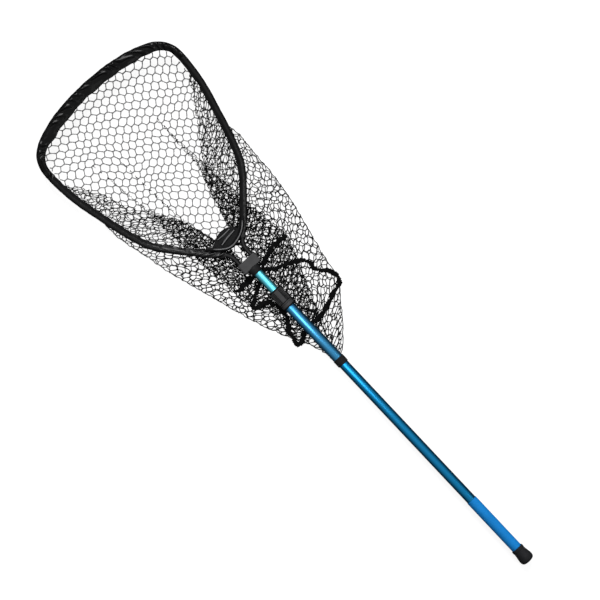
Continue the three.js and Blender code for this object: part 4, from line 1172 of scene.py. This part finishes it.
def seam_height(x, y):
    s, q = smoothstep(np.abs(y), 22, 55), smoothstep(-x, 190, 240)
    top = 2.8 + 8.2 * np.maximum(s, q)
    clear = np.maximum(smoothstep(np.abs(y), 18, 30), smoothstep(-x, 185, 200))
    return top + 0.3 + 1.25 + 1.5 * clear


def whipped(name, pts, half, high, wrap, pitch, seed, replaces=()):
    """A gathered seam: a lumpy core with a cord wound round it."""
    line = catmull(pts, 40)
    line, s = respace(line, step=0.9)
    w1, w2, w3 = Waves(seed, 9), Waves(seed + 1, 16), Waves(seed + 2, 34)
    line[:, 0] += 0.6 * w2(s, 0 * s) + 0.25 * w1(s, 0 * s)
    line[:, 1] += 0.6 * w2(s + 400, 0 * s) + 0.25 * w1(s + 300, 0 * s)
    line[:, 2] = seam_height(line[:, 0], line[:, 1]) + 0.15 * w2(s, 0 * s + 9)
    L = s[-1]
    taper = np.sqrt(np.clip(np.minimum(s, L - s) / 3.0, 0.02, 1))
    lump = 1 + 0.14 * w1(s, 0 * s + 3) + 0.10 * w3(s, 0 * s)
    m = 20
    a = np.arange(m) / m * 2 * math.pi
    A, S2 = np.meshgrid(a, s)
    bumps = 1 + 0.09 * np.sin(S2 * 2 * math.pi / 3.1 + A * 2) + 0.06 * w1(S2 * 1.6, A * 2)
    sec = np.stack([half * np.cos(A) * lump[:, None] * bumps * taper[:, None], high * np.sin(A) * bumps * taper[:, None]], -1)
    V, Q, UV = sweep(name, line, sec)
    j = np.arange(m // 2 - 1)
    caps = []
    for k in range(m // 2 - 1):
        c = [k, k + 1, m - 2 - k, m - 1 - k]
        caps.append(c[::-1])
        caps.append([(len(line) - 1) * m + v for v in c])
    core = make_mesh(name, plan_to_world(V), np.r_[Q, np.array(caps)], None, np.r_[UV, np.zeros((len(caps) * 4, 2))])
    fix_normals(core)
    finish_piece(core, "head", M_CORD, replaces)
    # the winding
    T, S, U = frames_along(line)
    ph = s * 2 * math.pi / pitch + 0.8 * w3(s + 90, 0 * s)
    fine_s = np.linspace(0, L, int(L / 0.45))
    f = lambda q: np.stack([np.interp(fine_s, s, q[:, k]) for k in range(3)], 1)
    C, Sf, Uf = f(line), f(S), f(U)
    ph = np.interp(fine_s, s, ph)
    lum = np.interp(fine_s, s, lump * taper)
    W = C + Sf * ((half * lum + wrap * 0.45) * np.cos(ph))[:, None] + Uf * ((high + wrap * 0.35) * np.interp(fine_s, s, taper) * np.sin(ph))[:, None]
    o2 = strands(name + "_winding", plan_to_world(W)[None], np.full((1, len(W)), wrap * MM), sides=8, oval=0.1, twist=900.0)
    finish_piece(o2, "head", M_CORD)
    return core


whipped("bag_seam_cord", SEAM_MAIN, 4.7, 1.25, 0.9, 4.6, 510, ["bag_seam"])
whipped("bag_seam_end_cord", SEAM_END, 6.6, 1.25, 0.9, 5.2, 530, ["bag_seam_end"])
whipped("bag_seam_fold", SEAM_THIN, 1.5, 1.0, 0.6, 4.0, 550)


# ---------------------------------------------------------------- surroundings, light and camera
def plane(name, size, z):
    me = bpy.data.meshes.new(name)
    h = size / 2
    me.from_pydata([(-h, -h, z), (h, -h, z), (h, h, z), (-h, h, z)], [], [(0, 1, 2, 3)])
    o = bpy.data.objects.new(name, me)
    bpy.context.scene.collection.objects.link(o)
    return o


floor = plane("floor", 30, -0.0005)
fm = Mat("floor_white", IOR_Level=0.1)
fm.set("Base Color", fm.ramp(fm.noise(fm.where("Object"), 4.0, 2), [(0.2, (0.19, 0.19, 0.19)), (0.8, (0.20, 0.20, 0.20))]))
fm.bsdf.inputs["Roughness"].default_value = 0.9
fm.bsdf.inputs["Emission Color"].default_value = (1, 1, 1, 1)
fm.bsdf.inputs["Emission Strength"].default_value = 0.865
floor.data.materials.append(fm.m)
floor.visible_diffuse = False
floor.visible_glossy = False

# a plain white backdrop all round, for the low views; it gives and blocks no light
bm = bmesh.new()
bmesh.ops.create_icosphere(bm, subdivisions=4, radius=24)
bmesh.ops.reverse_faces(bm, faces=bm.faces)
dome_mesh = bpy.data.meshes.new("backdrop")
bm.to_mesh(dome_mesh)
bm.free()
dome = bpy.data.objects.new("backdrop", dome_mesh)
bpy.context.scene.collection.objects.link(dome)
dm = Mat("backdrop_white", IOR_Level=0.0)
dm.bsdf.inputs["Base Color"].default_value = (0, 0, 0, 1)
dm.bsdf.inputs["Emission Color"].default_value = (1, 1, 1, 1)
dm.bsdf.inputs["Emission Strength"].default_value = 0.97
dome_mesh.materials.append(dm.m)
for ray in ("diffuse", "glossy", "transmission", "volume_scatter", "shadow"):
    setattr(dome, "visible_" + ray, False)

world = bpy.data.worlds.new("studio")
bpy.context.scene.world = world
world.use_nodes = True
wt = world.node_tree
bg = wt.nodes["Background"]
bg.inputs["Strength"].default_value = 1.0
tc, sep, rmp = wt.nodes.new("ShaderNodeTexCoord"), wt.nodes.new("ShaderNodeSeparateXYZ"), wt.nodes.new("ShaderNodeValToRGB")
wt.links.new(tc.outputs["Generated"], sep.inputs[0])
mr = wt.nodes.new("ShaderNodeMapRange")
mr.inputs["From Min"].default_value = -1.0
wt.links.new(sep.outputs["Z"], mr.inputs["Value"])
wt.links.new(mr.outputs["Result"], rmp.inputs["Fac"])
el = rmp.color_ramp.elements
while len(el) < 5:
    el.new(0.5)
for e, (p, v) in zip(el, ((0.0, 0.04), (0.46, 0.07), (0.62, 0.20), (0.84, 0.48), (1.0, 0.74))):
    e.position, e.color = p, (v, v, v, 1)
wt.links.new(rmp.outputs["Color"], bg.inputs["Color"])


def sun(name, direction, strength, angle):
    d = bpy.data.lights.new(name, "SUN")
    d.energy, d.angle = strength, math.radians(angle)
    o = bpy.data.objects.new(name, d)
    bpy.context.scene.collection.objects.link(o)
    o.rotation_mode = "QUATERNION"
    o.rotation_quaternion = Vector(direction).normalized().to_track_quat("-Z", "Y")
    return o


def area(name, place, target, size, size_y, energy):
    d = bpy.data.lights.new(name, "AREA")
    d.shape, d.size, d.size_y, d.energy = "RECTANGLE", size, size_y, energy
    d.spread = math.radians(66)
    o = bpy.data.objects.new(name, d)
    bpy.context.scene.collection.objects.link(o)
    o.location = place
    o.rotation_mode = "QUATERNION"
    o.rotation_quaternion = (Vector(target) - Vector(place)).normalized().to_track_quat("-Z", "Y")
    return o


sun("sun_far", (0.66, -0.42, -0.62), 3.3, 32)
sun("sun_near", (-0.62, -0.48, -0.62), 0.6, 18)
area("soft_top", (-0.12, -0.008, 1.1), (-0.12, -0.008, 0), 0.30, 0.7, 0.74)

# the view is straight down, with the handle running down to the right
VIEW_X, VIEW_Y = -0.0479, 0.0196
TURN = math.radians(46.76)
cam_data = bpy.data.cameras.new("camera")
cam_data.lens = 135
cam_data.sensor_width = 36
cam = bpy.data.objects.new("camera", cam_data)
bpy.context.scene.collection.objects.link(cam)
DIST = 1.38 * cam_data.lens / cam_data.sensor_width + 0.02
cam.location = (VIEW_X, VIEW_Y, DIST)
cam.rotation_euler = (0, 0, TURN)
cam_data.clip_start, cam_data.clip_end = 0.05, 60
bpy.context.scene.camera = cam
bpy.context.scene.view_settings.view_transform = "Standard"
bpy.context.scene.view_settings.look = "None"
